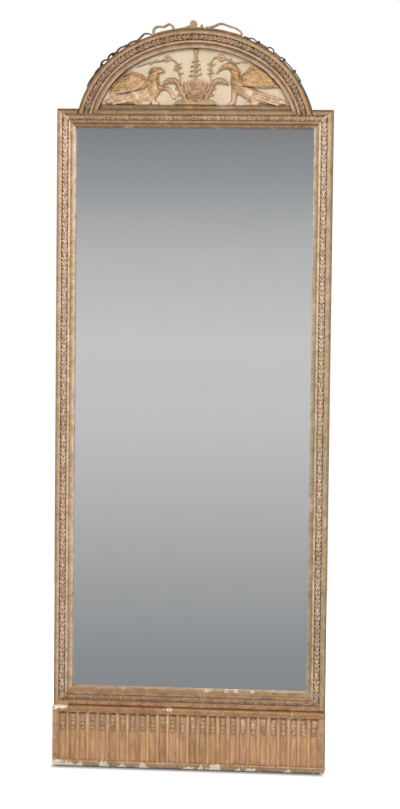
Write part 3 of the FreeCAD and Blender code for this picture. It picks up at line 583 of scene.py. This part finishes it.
# Painted shade: ambient occlusion darkens the panel round the relief towards a dark brown.
shut = add(tree, "ShaderNodeAmbientOcclusion", samples=12, sockets={"Distance": 0.0045}).outputs["AO"]
colour = mixed(tree, ramped(tree, shut, 0.90, 0.4, 0, 0.9), colour, (0.20, 0.11, 0.055, 1))
turned = split(tree, tree.nodes.new("ShaderNodeNewGeometry").outputs["Normal"])["Y"]
colour = mixed(tree, ramped(tree, turned, 0.5, 0.7), colour, wood_colour(tree, place, LEVEL_GRAIN)[0])
tree.links.new(colour, shader.inputs["Base Color"])
shader.inputs["Roughness"].default_value = 0.72
height = reckoned(tree, "SUBTRACT", cloud, crack)
bump = add(tree, "ShaderNodeBump", sockets={"Height": height, "Strength": 0.25, "Distance": 0.0008})
tree.links.new(bump.outputs["Normal"], shader.inputs["Normal"])
clothe(cream_paint, "lunette_panel")

# Ground strip: a gilded moulded ledge along the foot of the lunette, glued to the panel.
# The relief stands on it.
ground_gilding = gilding("ground_gilding", gold=(0.28, 0.195, 0.12, 1), dull=(0.22, 0.15, 0.09, 1),
                         along=LEVEL_GRAIN)
clothe(ground_gilding, "lunette_ground")

# Left griffin: a reclining beast with a bird's head, a raised wing and a lifted forefoot, in limewood.
# It is one low relief with a flat back, glued to the panel, gilded, and rubbed pale below the wing.
PANEL_FACE = 0.0045
RELIEF_FOOT = 1.6586
HALF_RELIEF, RELIEF_RISE = 0.232, 0.1379
FEATHER_LEAN = -0.45
WING_FOOT = 1.690
COARSE_CUT, FINE_CUT = 0.0008, 0.0007


def relief_paint(tree, place, mottle):
    """Brown wings with the barbs of their feathers, over paler flanks and feet."""
    z = split(tree, place)["Z"]
    rise = reckoned(tree, "ADD", z, ramped(tree, mottle, 0.3, 0.7, -0.006, 0.006))
    colour = mixed(tree, ramped(tree, rise, WING_FOOT, WING_FOOT + 0.010),
                   (0.80, 0.60, 0.44, 1), (0.51, 0.315, 0.15, 1))
    folded = measured(tree, "ABSOLUTE", place)[0]
    swept = add(tree, "ShaderNodeMapping", sockets={"Vector": folded, "Rotation": (0, FEATHER_LEAN, 0)})
    barb = cloudy(tree, stretched(tree, swept.outputs["Vector"], (0.14, 0.5, 1)), 260, 3, 0.6)
    winged = ramped(tree, rise, WING_FOOT - 0.002, WING_FOOT + 0.014, 0.25, 1)
    dark = reckoned(tree, "MULTIPLY", winged, ramped(tree, barb, 0.50, 0.60, 0, 0.85))
    light = reckoned(tree, "MULTIPLY", winged, ramped(tree, barb, 0.48, 0.34, 0, 0.7))
    colour = mixed(tree, dark, colour, (0.20, 0.105, 0.045, 1))
    return mixed(tree, light, colour, (0.80, 0.57, 0.33, 1))


relief_gilding = gilding("relief_gilding", chips=0.1, grime_and_shade=1.15, along=NO_GRAIN, paint=relief_paint,
                         contrast=0.42, tint=(1.0, 0.915, 0.80))


def spot(across, up, lift=0.0):
    """A place on the lunette, across and up by its own measures, lifted off the panel by millimetres."""
    return Vector((across * HALF_RELIEF, PANEL_FACE - lift * MM, RELIEF_FOOT + up * RELIEF_RISE))


def limb(bm, *joints):
    """A rounded limb through joints of across, up, lift and radius."""
    balls = [(spot(across, up, lift), radius * MM) for across, up, lift, radius in joints]
    for centre, radius in balls:
        bmesh.ops.create_uvsphere(bm, u_segments=14, v_segments=9, radius=radius,
                                  matrix=Matrix.Translation(centre))
    for (start, first), (end, last) in zip(balls, balls[1:]):
        run = end - start
        turn = run.to_track_quat("Z", "Y").to_matrix().to_4x4()
        bmesh.ops.create_cone(bm, cap_ends=True, segments=14, radius1=first, radius2=last,
                              depth=run.length, matrix=Matrix.Translation((start + end) / 2) @ turn)


def pressed(bm, share):
    """Presses what is modelled so far towards the panel, as low relief is."""
    bmesh.ops.scale(bm, vec=(1, share, 1), space=Matrix.Translation((0, -PANEL_FACE, 0)), verts=bm.verts)


def feathers(bm, roots, tips, width, lift):
    """Overlapping feathers, each from its root to its tip."""
    for index, tip in enumerate(tips):
        share = index / (len(tips) - 1)
        root = [a + (b - a) * share for a, b in zip(*roots)]
        leaf(bm, spot(*root, lift), spot(*tip, lift * 0.6), width * MM, 5.0 * MM, groove=0.35)


def scales(bm, first, last, count, rows):
    """Rows of overlapping scales along a flank, between two places of across, up and lift."""
    back = math.copysign(0.028, first[0])
    for row in range(rows):
        for index in range(count):
            share = (index + 0.5 * (row % 2)) / count
            across, up, lift = (a + (b - a) * share for a, b in zip(first, last))
            root = spot(across, up - 0.055 * row + 0.02, lift + 0.3)
            tip = spot(across + back, up - 0.055 * row - 0.02, lift + 0.1)
            leaf(bm, root, tip, 6.5 * MM, 4.6 * MM, groove=0.6)


def carved(bm, name, finish, node, grain=COARSE_CUT):
    """Unites overlapping forms into one carving with a flat back on the panel, in place of a CAD node."""
    rough = bpy.data.meshes.new(name + "_rough")
    bm.to_mesh(rough)
    bm.free()
    block = bpy.data.objects.new(name + "_rough", rough)
    bpy.context.scene.collection.objects.link(block)
    union = block.modifiers.new("union", "REMESH")
    union.mode = "VOXEL"
    union.voxel_size = grain
    whole = bpy.data.meshes.new_from_object(block.evaluated_get(bpy.context.evaluated_depsgraph_get()))
    bpy.data.objects.remove(block)
    bpy.data.meshes.remove(rough)
    bm = bmesh.new()
    bm.from_mesh(whole)
    bpy.data.meshes.remove(whole)
    for _ in range(2):
        bmesh.ops.smooth_vert(bm, verts=bm.verts, factor=0.5,
                              use_axis_x=True, use_axis_y=True, use_axis_z=True)
    cut = bmesh.ops.bisect_plane(bm, geom=bm.verts[:] + bm.edges[:] + bm.faces[:], dist=1e-6,
                                 plane_co=(0, PANEL_FACE - 0.2 * MM, 0), plane_no=(0, 1, 0),
                                 clear_outer=True)
    rim = [item for item in cut["geom_cut"] if isinstance(item, bmesh.types.BMEdge)]
    bmesh.ops.holes_fill(bm, edges=rim, sides=0)
    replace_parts(piece_from(bm, name, finish), node)


bm = bmesh.new()
limb(bm, (-0.945, 0.055, 0, 7), (-0.86, 0.085, 0, 11), (-0.74, 0.115, 0, 15.5), (-0.60, 0.135, 0, 18),
     (-0.50, 0.17, 0, 19), (-0.445, 0.27, 2, 17), (-0.452, 0.40, 2, 14), (-0.45, 0.50, 3, 12.5),
     (-0.435, 0.592, 4, 11))
limb(bm, (-0.41, 0.605, 5, 8), (-0.365, 0.605, 5, 5), (-0.338, 0.578, 4, 2.2))
limb(bm, (-0.66, 0.16, 6, 16), (-0.60, 0.09, 8, 11), (-0.63, 0.035, 9, 7), (-0.54, 0.028, 9, 5.5),
     (-0.50, 0.025, 9, 4.5))
limb(bm, (-0.40, 0.30, 4, 8), (-0.345, 0.30, 5, 5.5), (-0.297, 0.285, 5, 4.2), (-0.262, 0.21, 5, 3.4),
     (-0.24, 0.15, 5, 3.2), (-0.222, 0.128, 5, 3.6))
limb(bm, (-0.46, 0.22, 5, 10), (-0.465, 0.12, 6, 6.5), (-0.45, 0.03, 6, 5.5), (-0.41, 0.022, 6, 5))
limb(bm, (-0.52, 0.37, 4, 13), (-0.62, 0.42, 4, 18.5), (-0.70, 0.425, 4, 20), (-0.78, 0.375, 3, 18),
     (-0.85, 0.295, 2, 13), (-0.90, 0.22, 1, 6))
limb(bm, (-0.90, 0.165, 0, 6), (-0.78, 0.235, 0, 9), (-0.66, 0.27, 1, 12), (-0.54, 0.28, 2, 13))
pressed(bm, 0.55)
limb(bm, (-0.50, 0.575, 7, 2.2), (-0.475, 0.64, 7, 2.4), (-0.425, 0.668, 7, 2.4), (-0.375, 0.652, 7, 2.0),
     (-0.345, 0.62, 6, 1.5))
limb(bm, (-0.50, 0.45, 6, 3.4), (-0.58, 0.497, 7, 3), (-0.64, 0.562, 7, 2.8), (-0.69, 0.578, 7, 2.6),
     (-0.75, 0.556, 6, 2.4), (-0.82, 0.466, 5, 2.2), (-0.905, 0.32, 4, 1.8))
feathers(bm, ((-0.55, 0.40), (-0.56, 0.31)),
         ((-0.68, 0.545), (-0.735, 0.54), (-0.785, 0.49), (-0.83, 0.42), (-0.87, 0.345), (-0.895, 0.27),
          (-0.885, 0.205)), 9, 13.5)
feathers(bm, ((-0.51, 0.41), (-0.52, 0.31)),
         ((-0.60, 0.46), (-0.635, 0.44), (-0.655, 0.40), (-0.66, 0.355), (-0.65, 0.31)), 8, 14)
scales(bm, (-0.86, 0.125, 5.6), (-0.54, 0.235, 9.6), 11, 3)
carved(bm, "carved_griffin_left", relief_gilding, "griffin_left")

# Right griffin: its fellow stands turned to the middle, with the wing swept back and the head bowed.
# Carved, glued and gilded in the same way.
bm = bmesh.new()
limb(bm, (0.955, 0.05, 0, 6), (0.86, 0.075, 0, 9.5), (0.76, 0.105, 0, 13), (0.66, 0.15, 0, 16),
     (0.57, 0.215, 0, 17), (0.49, 0.30, 1, 17), (0.435, 0.40, 2, 14.5), (0.425, 0.49, 2, 12),
     (0.43, 0.575, 3, 10.5), (0.405, 0.655, 4, 9.5), (0.355, 0.70, 5, 8.5), (0.31, 0.685, 5, 6),
     (0.265, 0.635, 4, 3.4), (0.222, 0.56, 3, 1.8))
limb(bm, (0.43, 0.30, 4, 10), (0.415, 0.20, 5, 7.5), (0.412, 0.10, 5, 5.5), (0.40, 0.028, 5, 5),
     (0.37, 0.022, 5, 4.2))
limb(bm, (0.68, 0.14, 3, 13), (0.63, 0.08, 5, 9), (0.66, 0.032, 8, 6.5), (0.58, 0.026, 8, 5.5),
     (0.545, 0.024, 8, 4.5))
limb(bm, (0.49, 0.42, 4, 13), (0.56, 0.48, 5, 16), (0.62, 0.55, 5, 18.5), (0.70, 0.525, 4, 16.5),
     (0.78, 0.445, 3, 13.5), (0.85, 0.375, 2, 9), (0.915, 0.318, 1, 4))
pressed(bm, 0.55)
limb(bm, (0.40, 0.70, 7, 2.2), (0.45, 0.655, 6, 2), (0.475, 0.60, 5, 1.6))
limb(bm, (0.475, 0.50, 6, 3.2), (0.54, 0.535, 7, 3), (0.57, 0.645, 7, 2.8), (0.61, 0.688, 7, 2.6),
     (0.675, 0.665, 6, 2.4), (0.775, 0.56, 5, 2.2), (0.855, 0.45, 4, 2), (0.922, 0.32, 3, 1.6))
feathers(bm, ((0.55, 0.53), (0.54, 0.36)),
         ((0.70, 0.63), (0.755, 0.57), (0.80, 0.505), (0.84, 0.445), (0.875, 0.385), (0.90, 0.33),
          (0.83, 0.315), (0.75, 0.35)), 9, 13)
feathers(bm, ((0.50, 0.48), (0.49, 0.35)),
         ((0.61, 0.60), (0.645, 0.56), (0.665, 0.51), (0.66, 0.455), (0.63, 0.40)), 8, 14)
scales(bm, (0.87, 0.115, 4.6), (0.60, 0.255, 9.0), 10, 3)
carved(bm, "carved_griffin_right", relief_gilding, "griffin_right")

# Leafy cup: a basket of upright leaves with a rosette on its breast, held between two acanthus arms.
# The tips of the arms droop outwards over the griffins' feet. One carving, glued and gilded.
cup_gilding = gilding("cup_gilding", gold=(0.56, 0.37, 0.22, 1), dull=(0.46, 0.30, 0.17, 1), chips=0.1,
                      grime_and_shade=1.2, along=NO_GRAIN)


def flower(bm, across, up, lift, reach, petals):
    """A turned-up flower: petals round a berry."""
    middle = spot(across, up, lift)
    for index in range(petals):
        angle = 2 * math.pi * (index + 0.5) / petals
        run = Vector((math.cos(angle), 0, math.sin(angle))) * reach * MM
        leaf(bm, middle + run * 0.2, middle + run, reach * 0.62 * MM, 3.4 * MM, groove=0.3)
    bmesh.ops.create_uvsphere(bm, u_segments=10, v_segments=7, radius=reach * 0.3 * MM,
                              matrix=Matrix.Translation(middle + OUT * MM))


bm = bmesh.new()
for side in (-1, 1):
    limb(bm, (side * 0.03, 0.02, 3, 5), (side * 0.095, 0.075, 4, 5), (side * 0.132, 0.17, 5, 5),
         (side * 0.162, 0.28, 5, 5), (side * 0.19, 0.385, 5, 5.5), (side * 0.232, 0.442, 5, 5.5),
         (side * 0.285, 0.442, 5, 5.5), (side * 0.33, 0.40, 4, 4), (side * 0.345, 0.365, 3, 2.5))
limb(bm, (-0.12, 0.025, 2, 4.5), (0, 0.035, 2, 6.5), (0.12, 0.025, 2, 4.5))
pressed(bm, 0.7)
for index in range(-3, 4):
    leaf(bm, spot(index * 0.014, 0.03, 3), spot(index * 0.042, 0.475 - abs(index) * 0.012, 5),
         9.5 * MM, 7 * MM, groove=0.4)
for side in (-1, 1):
    for up, across, tip_up, tip_across in (
            (0.10, 0.115, 0.06, 0.165), (0.20, 0.14, 0.17, 0.20), (0.30, 0.165, 0.29, 0.225),
            (0.14, 0.12, 0.26, 0.10), (0.26, 0.15, 0.38, 0.135), (0.36, 0.185, 0.47, 0.165)):
        leaf(bm, spot(side * across, up, 5), spot(side * tip_across, tip_up, 3),
             6.5 * MM, 5 * MM, groove=0.4)
    for across, up, droop in ((0.21, 0.43, 0.36), (0.25, 0.45, 0.365), (0.29, 0.435, 0.355)):
        leaf(bm, spot(side * across, up, 6), spot(side * (across + 0.012), droop, 4),
             7 * MM, 5 * MM, groove=0.4)
    for tip_across, tip_up in ((0.235, 0.03), (0.205, 0.075), (0.15, 0.115)):
        leaf(bm, spot(side * 0.03, 0.03, 4), spot(side * tip_across, tip_up, 3.4),
             8.5 * MM, 6 * MM, groove=0.4)
flower(bm, 0.008, 0.371, 8.5, 14.5, 10)
flower(bm, 0.008, 0.371, 10.5, 8.5, 7)
for across, up in ((0.0, 0.20), (-0.045, 0.15), (0.048, 0.155), (-0.06, 0.24), (0.065, 0.245),
                   (0.0, 0.10)):
    flower(bm, across, up, 7.5, 6, 5)
carved(bm, "carved_cup", cup_gilding, "leafy_cup", FINE_CUT)

# Staff: a torch with a serpent wound round it, rising from the cup to the arch.
# Carved in one, and gilded brighter than the cup.
COIL_STEPS, COIL_TURNS = 45, 3.5
staff_gilding = gilding("staff_gilding", gold=(0.76, 0.56, 0.31, 1), dull=(0.62, 0.43, 0.235, 1),
                        chips=0.05, grime_and_shade=0.8, along=NO_GRAIN)
bm = bmesh.new()
limb(bm, (0, 0.46, 2.5, 2.6), (0, 0.86, 2.5, 2.6), (0, 0.93, 3, 4.8), (0, 0.962, 3, 5.6))
coils = []
for step in range(COIL_STEPS + 1):
    share = step / COIL_STEPS
    turn = COIL_TURNS * 2 * math.pi * share + 0.6
    coils.append(((0.036 + 0.032 * share) * math.cos(turn), 0.80 - 0.29 * share,
                  1.6 + 4.6 * math.sin(turn), 1.5 + 0.5 * share))
limb(bm, *coils)
carved(bm, "carved_staff", staff_gilding, "serpent_staff", FINE_CUT)

# Sprays: a flower on each side of the staff, on thin wired stems with small leaves, laid in gilded compo.
# They rise from the cup and trail outwards under the arch.
spray_gilding = gilding("spray_gilding", gold=(0.60, 0.42, 0.25, 1), dull=(0.47, 0.32, 0.185, 1),
                        chips=0.05, grime_and_shade=0.8, along=NO_GRAIN)
bm = bmesh.new()
limb(bm, (-0.165, 0.49, 2, 1.5), (-0.185, 0.58, 2, 1.5), (-0.19, 0.683, 2, 1.5), (-0.213, 0.765, 2, 1.5),
     (-0.262, 0.815, 2.5, 1.5), (-0.308, 0.826, 3, 1.6), (-0.37, 0.785, 2.5, 1.6), (-0.45, 0.765, 2, 1.6),
     (-0.53, 0.735, 2, 1.4), (-0.63, 0.668, 1.5, 1.2))
flower(bm, -0.308, 0.826, 3.5, 9.5, 7)
for across, up, tip_across, tip_up in (
        (-0.188, 0.60, -0.245, 0.645), (-0.19, 0.645, -0.14, 0.675), (-0.195, 0.70, -0.15, 0.745),
        (-0.19, 0.66, -0.235, 0.70), (-0.178, 0.55, -0.125, 0.575), (-0.45, 0.765, -0.50, 0.715),
        (-0.40, 0.775, -0.44, 0.815)):
    leaf(bm, spot(across, up, 2), spot(tip_across, tip_up, 2.5), 3.9 * MM, 3.4 * MM)
carved(bm, "carved_spray_left", spray_gilding, "flower_spray_left", FINE_CUT)
bm = bmesh.new()
limb(bm, (0.155, 0.49, 2, 1.5), (0.165, 0.59, 2, 1.5), (0.16, 0.70, 2, 1.5), (0.17, 0.79, 2, 1.5),
     (0.205, 0.85, 2.5, 1.5), (0.269, 0.841, 3, 1.6), (0.34, 0.815, 2.5, 1.6), (0.40, 0.765, 2, 1.6),
     (0.45, 0.752, 2, 1.4), (0.50, 0.77, 2, 1.3), (0.545, 0.758, 1.5, 1.1))
flower(bm, 0.269, 0.841, 3.5, 10, 7)
for across, up, tip_across, tip_up in (
        (0.162, 0.685, 0.12, 0.755), (0.162, 0.685, 0.215, 0.745), (0.163, 0.60, 0.205, 0.565),
        (0.163, 0.62, 0.12, 0.645), (0.16, 0.55, 0.115, 0.56), (0.36, 0.805, 0.385, 0.835),
        (0.42, 0.758, 0.44, 0.715)):
    leaf(bm, spot(across, up, 2), spot(tip_across, tip_up, 2.5), 3.9 * MM, 3.4 * MM)
carved(bm, "carved_spray_right", spray_gilding, "flower_spray_right", FINE_CUT)

# Ribbon cresting: a bow, its knot and two fluttering tails, sawn on edge from thin limewood and gilded.
# They stand on the arch in glue. The bow is gilded dull brown; the tails and the knots on them are near
# black, painted shade for ribbon seen edge on.
KNOT_RADIUS, KNOT_LIFT = 0.0042, 0.0036
ribbon_gilding = gilding("ribbon_gilding", gold=(0.40, 0.285, 0.175, 1), dull=(0.26, 0.18, 0.105, 1),
                         chips=0.1, along=NO_GRAIN)
# Near-black gilding for the tails: painted shade.
tail_shade_gilding = gilding("tail_shade_gilding", gold=(0.14, 0.095, 0.055, 1), dull=(0.09, 0.06, 0.035, 1),
                       chips=0.0, along=NO_GRAIN, tone=0.32)
clothe(ribbon_gilding, "bow_knot", "bow_loop_left", "bow_loop_right")
clothe(tail_shade_gilding, "ribbon_tail_left", "ribbon_tail_right")
# Knots: small balls on the arch along the tails, in the same near-black painted shade.
bm = bmesh.new()
for lean in (26.5, 42.5, 51.0, -30.0, -38.5, -47.0):
    bmesh.ops.create_icosphere(bm, subdivisions=2, radius=KNOT_RADIUS,
                               matrix=Matrix.Translation(on_arch(math.radians(lean), KNOT_LIFT)))
piece_from(bm, "ribbon_knots", tail_shade_gilding)

# Plinth boards: a ledge and a base with rounded upper edges, and two sides between them, of butted pine.
# Gilded like the frame. Feet and brooms have knocked the base down to its gesso along the floor.
def ledge_bared(tree, place):
    """Gesso in long chips along the ledge's upper edge."""
    height = reckoned(tree, "ADD", split(tree, place)["Z"], ragged(tree, place, 0.005))
    return reckoned(tree, "MULTIPLY", ramped(tree, height, 0.1425, 0.1440),
                    knocked_off(tree, place, 17, 0.60, 0.63))


def base_bared(tree, place):
    """Gesso where the base meets the floor, most of all on the left."""
    x, _, z = split(tree, place)
    patch = cloudy(tree, stretched(tree, place, KNOCK_SHAPE), 22, 4, 0.55)
    patch = reckoned(tree, "ADD", patch, ramped(tree, x, -0.16, -0.30, 0, 0.10))
    reach = reckoned(tree, "ADD", ramped(tree, patch, 0.48, 0.64, -0.003, 0.0135),
                     ragged(tree, place, 0.0035))
    return ramped(tree, reckoned(tree, "SUBTRACT", reach, z), -0.0008, 0.0012)


ledge_gilding = gilding("ledge_gilding", gold=(0.54, 0.32, 0.165, 1), dull=(0.48, 0.27, 0.13, 1),
                        chips=0.6, grime_and_shade=0.05, along=LEVEL_GRAIN, bared=ledge_bared)
clothe(ledge_gilding, "plinth_ledge")
base_gilding = gilding("base_gilding", gold=(0.62, 0.44, 0.28, 1), dull=(0.55, 0.38, 0.23, 1), chips=0.6,
                       along=LEVEL_GRAIN, bared=base_bared)
clothe(base_gilding, "plinth_base")
side_gilding = gilding("side_gilding", gold=(0.72, 0.48, 0.29, 1), dull=(0.63, 0.40, 0.235, 1), chips=0.5)
clothe(side_gilding, "plinth_side_left", "plinth_side_right")

# Fluted panel: a board ploughed with hollow flutes, set back behind the plinth's sides, and gilded.
# A string of husks in compo hangs in the head of every flute.
FLUTES = 26
FLUTED_WIDTH = 0.660
FLUTE_PITCH = FLUTED_WIDTH / FLUTES
FLUTE_FLOOR = -0.0215
HUSK_TOP = 0.1335


def fluted_paint(tree, place, mottle):
    """Pale along the middle of every land and dark reddish brown on the flute walls beside it: worn gesso
    with painted highlight, and painted shade.
    """
    x = split(tree, place)["X"]
    wander = ramped(tree, mottle, 0.3, 0.7, -0.0007, 0.0007)
    from_end = reckoned(tree, "ADD", reckoned(tree, "ADD", x, FLUTED_WIDTH / 2), wander)
    count = reckoned(tree, "DIVIDE", from_end, FLUTE_PITCH)
    off_land = reckoned(tree, "PINGPONG", count, 0.5)
    streak = cloudy(tree, stretched(tree, place, (1, 1, 0.05)), 330, 3, 0.65)
    gold = mixed(tree, ramped(tree, streak, 0.36, 0.64), (0.66, 0.42, 0.235, 1), (0.92, 0.64, 0.40, 1))
    # Pale bands on the lands: worn gesso and painted highlight; dark bands on the flute walls: painted
    # shade.
    rubbed = banded(tree, reckoned(tree, "MULTIPLY", off_land, 2.0), (
        (0.0, (1.0, 0.90, 0.72, 1)), (0.09, (0.98, 0.80, 0.58, 1)), (0.15, (0.62, 0.36, 0.19, 1)),
        (0.30, (0.52, 0.28, 0.14, 1)), (0.42, (0.80, 0.54, 0.32, 1)), (1.0, (0.80, 0.54, 0.32, 1))))
    return mixed(tree, 0.5, gold, rubbed)


fluted_gilding = gilding("fluted_gilding", paint=fluted_paint, chips=0.6, grime_and_shade=0.3, contrast=0.26,
                         drawn=(1.5, 1, 0.2), tint=(1.06, 0.94, 0.835))
clothe(fluted_gilding, "fluted_panel")
husk_gilding = gilding("husk_gilding", gold=(0.90, 0.65, 0.45, 1), dull=(0.62, 0.43, 0.30, 1), chips=0.1,
                       grime_and_shade=0.9, contrast=0.5)
bm = bmesh.new()
for drop, width, length in ((0.0, 12.5, 14), (10.5, 11.5, 13.5), (21, 10, 13), (31.5, 7.8, 12.5)):
    for side in (-1, 1):
        leaf(bm, in_mould(-drop, 0.12 * side * width, 0.8),
             in_mould(-drop - length, 0.40 * side * width, 2.4), width * 0.0005, 0.0044, bow=0.12 * side)
    leaf(bm, in_mould(-drop - 1, 0, 1.6), in_mould(-drop - length * 1.02, 0, 3.2),
         width * 0.00042, 0.0044)
husk_string = pattern_of(bm, "husk_string")
bm = bmesh.new()
for flute in range(FLUTES):
    middle = (flute + 0.5) * FLUTE_PITCH - FLUTED_WIDTH / 2
    press(bm, husk_string, Vector((middle, FLUTE_FLOOR, HUSK_TOP)), Vector((0, 0, 1)))
piece_from(bm, "flute_husks", husk_gilding)

# Battens and glue blocks behind: planed pine, the battens screwed from the frame to crest and plinth.
# The blocks are rubbed with glue into the corners behind the fluted panel.
clothe(upright_pine, "plinth_glue_blocks", "crest_batten_left", "crest_batten_right",
       "plinth_batten_left", "plinth_batten_right")
clothe(rusted_iron, "batten_screws")

# Hanging eye and ring: forged iron, the eye driven into the back of the top rail.
# The ring hangs loose in it and turns up to the wall hook.
clothe(rusted_iron, "hanging_eye", "hanging_ring")

# Studio: a pale floor with a dark shadow painted round the plinth's foot, burning out to white away from
# it, and soft lights on all sides.
# The plate shows the room behind the camera, which falls off in grey above and below.
HALF_WIDTH, HALF_DEPTH = 0.343, 0.0345
floor_finish, tree, shader, place = finish_named("studio_floor")
shader.inputs["Roughness"].default_value = 0.9
seen = tree.nodes.new("ShaderNodeLightPath").outputs["Is Camera Ray"]
x, y, _ = split(tree, place)
aside = reckoned(tree, "SUBTRACT", reckoned(tree, "ABSOLUTE", x), HALF_WIDTH)
before = reckoned(tree, "SUBTRACT", -HALF_DEPTH, y)
behind = reckoned(tree, "SUBTRACT", y, HALF_DEPTH)
sideways = reckoned(tree, "MAXIMUM", ramped(tree, aside, -0.012, 0.012),
                    ramped(tree, behind, 0.0, 0.01))
away = reckoned(tree, "MAXIMUM", sideways, ramped(tree, before, 0.008, 0.06))
# Painted contact shadow: the floor is dark grey at the plinth's foot and pale away from it.
colour = mixed(tree, away, (0.12, 0.115, 0.11, 1), (0.80, 0.80, 0.82, 1))
tree.links.new(colour, shader.inputs["Base Color"])
shader.inputs["Emission Color"].default_value = (1, 1, 1, 1)
tree.links.new(reckoned(tree, "MULTIPLY", seen, away), shader.inputs["Emission Strength"])
mirrored = tree.nodes.new("ShaderNodeLightPath").outputs["Is Glossy Ray"]
tree.links.new(reckoned(tree, "SUBTRACT", 1.0, mirrored), shader.inputs["Alpha"])
bm = bmesh.new()
bmesh.ops.create_grid(bm, x_segments=1, y_segments=1, size=1, matrix=Matrix.Diagonal((3, 3, 1, 1)))
mesh = bpy.data.meshes.new("studio_floor")
bm.to_mesh(mesh)
bm.free()
mesh.materials.append(floor_finish)
floor = bpy.data.objects.new("studio_floor", mesh)
bpy.context.scene.collection.objects.link(floor)

world = bpy.data.worlds.new("studio_room")
bpy.context.scene.world = world
world.use_nodes = True
tree = world.node_tree
background = next(node for node in tree.nodes if node.type == "BACKGROUND")
path = tree.nodes.new("ShaderNodeLightPath")
aim = tree.nodes.new("ShaderNodeTexCoord").outputs["Generated"]
rise = ramped(tree, split(tree, aim)["Z"], -0.22, 0.08)
greys = ((0.0, 0.20, 0.05), (0.16, 0.288, 0.04), (0.32, 0.427, 0.01), (0.46, 0.54, 0), (0.58, 0.57, 0),
         (0.70, 0.475, 0.01), (0.80, 0.315, 0.04), (0.90, 0.195, 0.06), (1.0, 0.16, 0.06))
falloff = banded(tree, rise, [(where, (grey * (1 - cold), grey, grey * (1 + cold), 1))
                              for where, grey, cold in greys])
room = mixed(tree, path.outputs["Is Camera Ray"], (0.26, 0.26, 0.26, 1), (1, 1, 1, 1))
room = mixed(tree, path.outputs["Is Glossy Ray"], room, falloff)
tree.links.new(room, background.inputs["Color"])
background.inputs["Strength"].default_value = 1.0


def lamp(name, place, target, size, power):
    """A round soft light, turned to its target."""
    light = bpy.data.lights.new(name, "AREA")
    light.shape = "DISK"
    light.size = size
    light.energy = power
    holder = bpy.data.objects.new(name, light)
    holder.location = place
    holder.rotation_euler = (Vector(target) - Vector(place)).to_track_quat("-Z", "Y").to_euler()
    bpy.context.scene.collection.objects.link(holder)


lamp("key_light", (0.4, -3.2, 2.9), (0, 0, 1.0), 1.5, 71)
lamp("side_light", (-2.6, -2.2, 1.5), (0, 0, 0.9), 1.4, 18)
lamp("back_light", (-1.2, 3.0, 2.4), (0, 0, 1.0), 1.5, 60)
lamp("low_light", (1.7, -2.4, 0.45), (0, 0, 0.25), 1.0, 9)

# Camera: the photograph's frame is 400 by 809 pixels, taken from about six metres.
# It stands a little to the right and above, and is turned by about half a degree.
REACH = 6.0
YAW, PITCH, ROLL = math.radians(5.777), math.radians(4.168), math.radians(0.615)
FOCAL_PIXELS = 2402.5
FRAME_HEIGHT = 809
LOOKED_AT = Vector((0.0198, 0, 0.9159))
aim = Vector((-math.sin(YAW) * math.cos(PITCH), math.cos(YAW) * math.cos(PITCH), -math.sin(PITCH)))
level = Vector((math.cos(YAW), math.sin(YAW), 0))
upright = level.cross(aim)
right = level * math.cos(ROLL) + upright * math.sin(ROLL)
up = upright * math.cos(ROLL) - level * math.sin(ROLL)
view = bpy.data.cameras.new("view")
view.sensor_fit = "VERTICAL"
view.sensor_height = 36.0
view.lens = FOCAL_PIXELS / FRAME_HEIGHT * view.sensor_height
camera = bpy.data.objects.new("view", view)
turn = Matrix((right, up, -aim)).transposed().to_4x4()
camera.matrix_world = Matrix.Translation(LOOKED_AT - aim * REACH) @ turn
bpy.context.scene.collection.objects.link(camera)
bpy.context.scene.camera = camera
bpy.context.scene.view_settings.view_transform = "Standard"
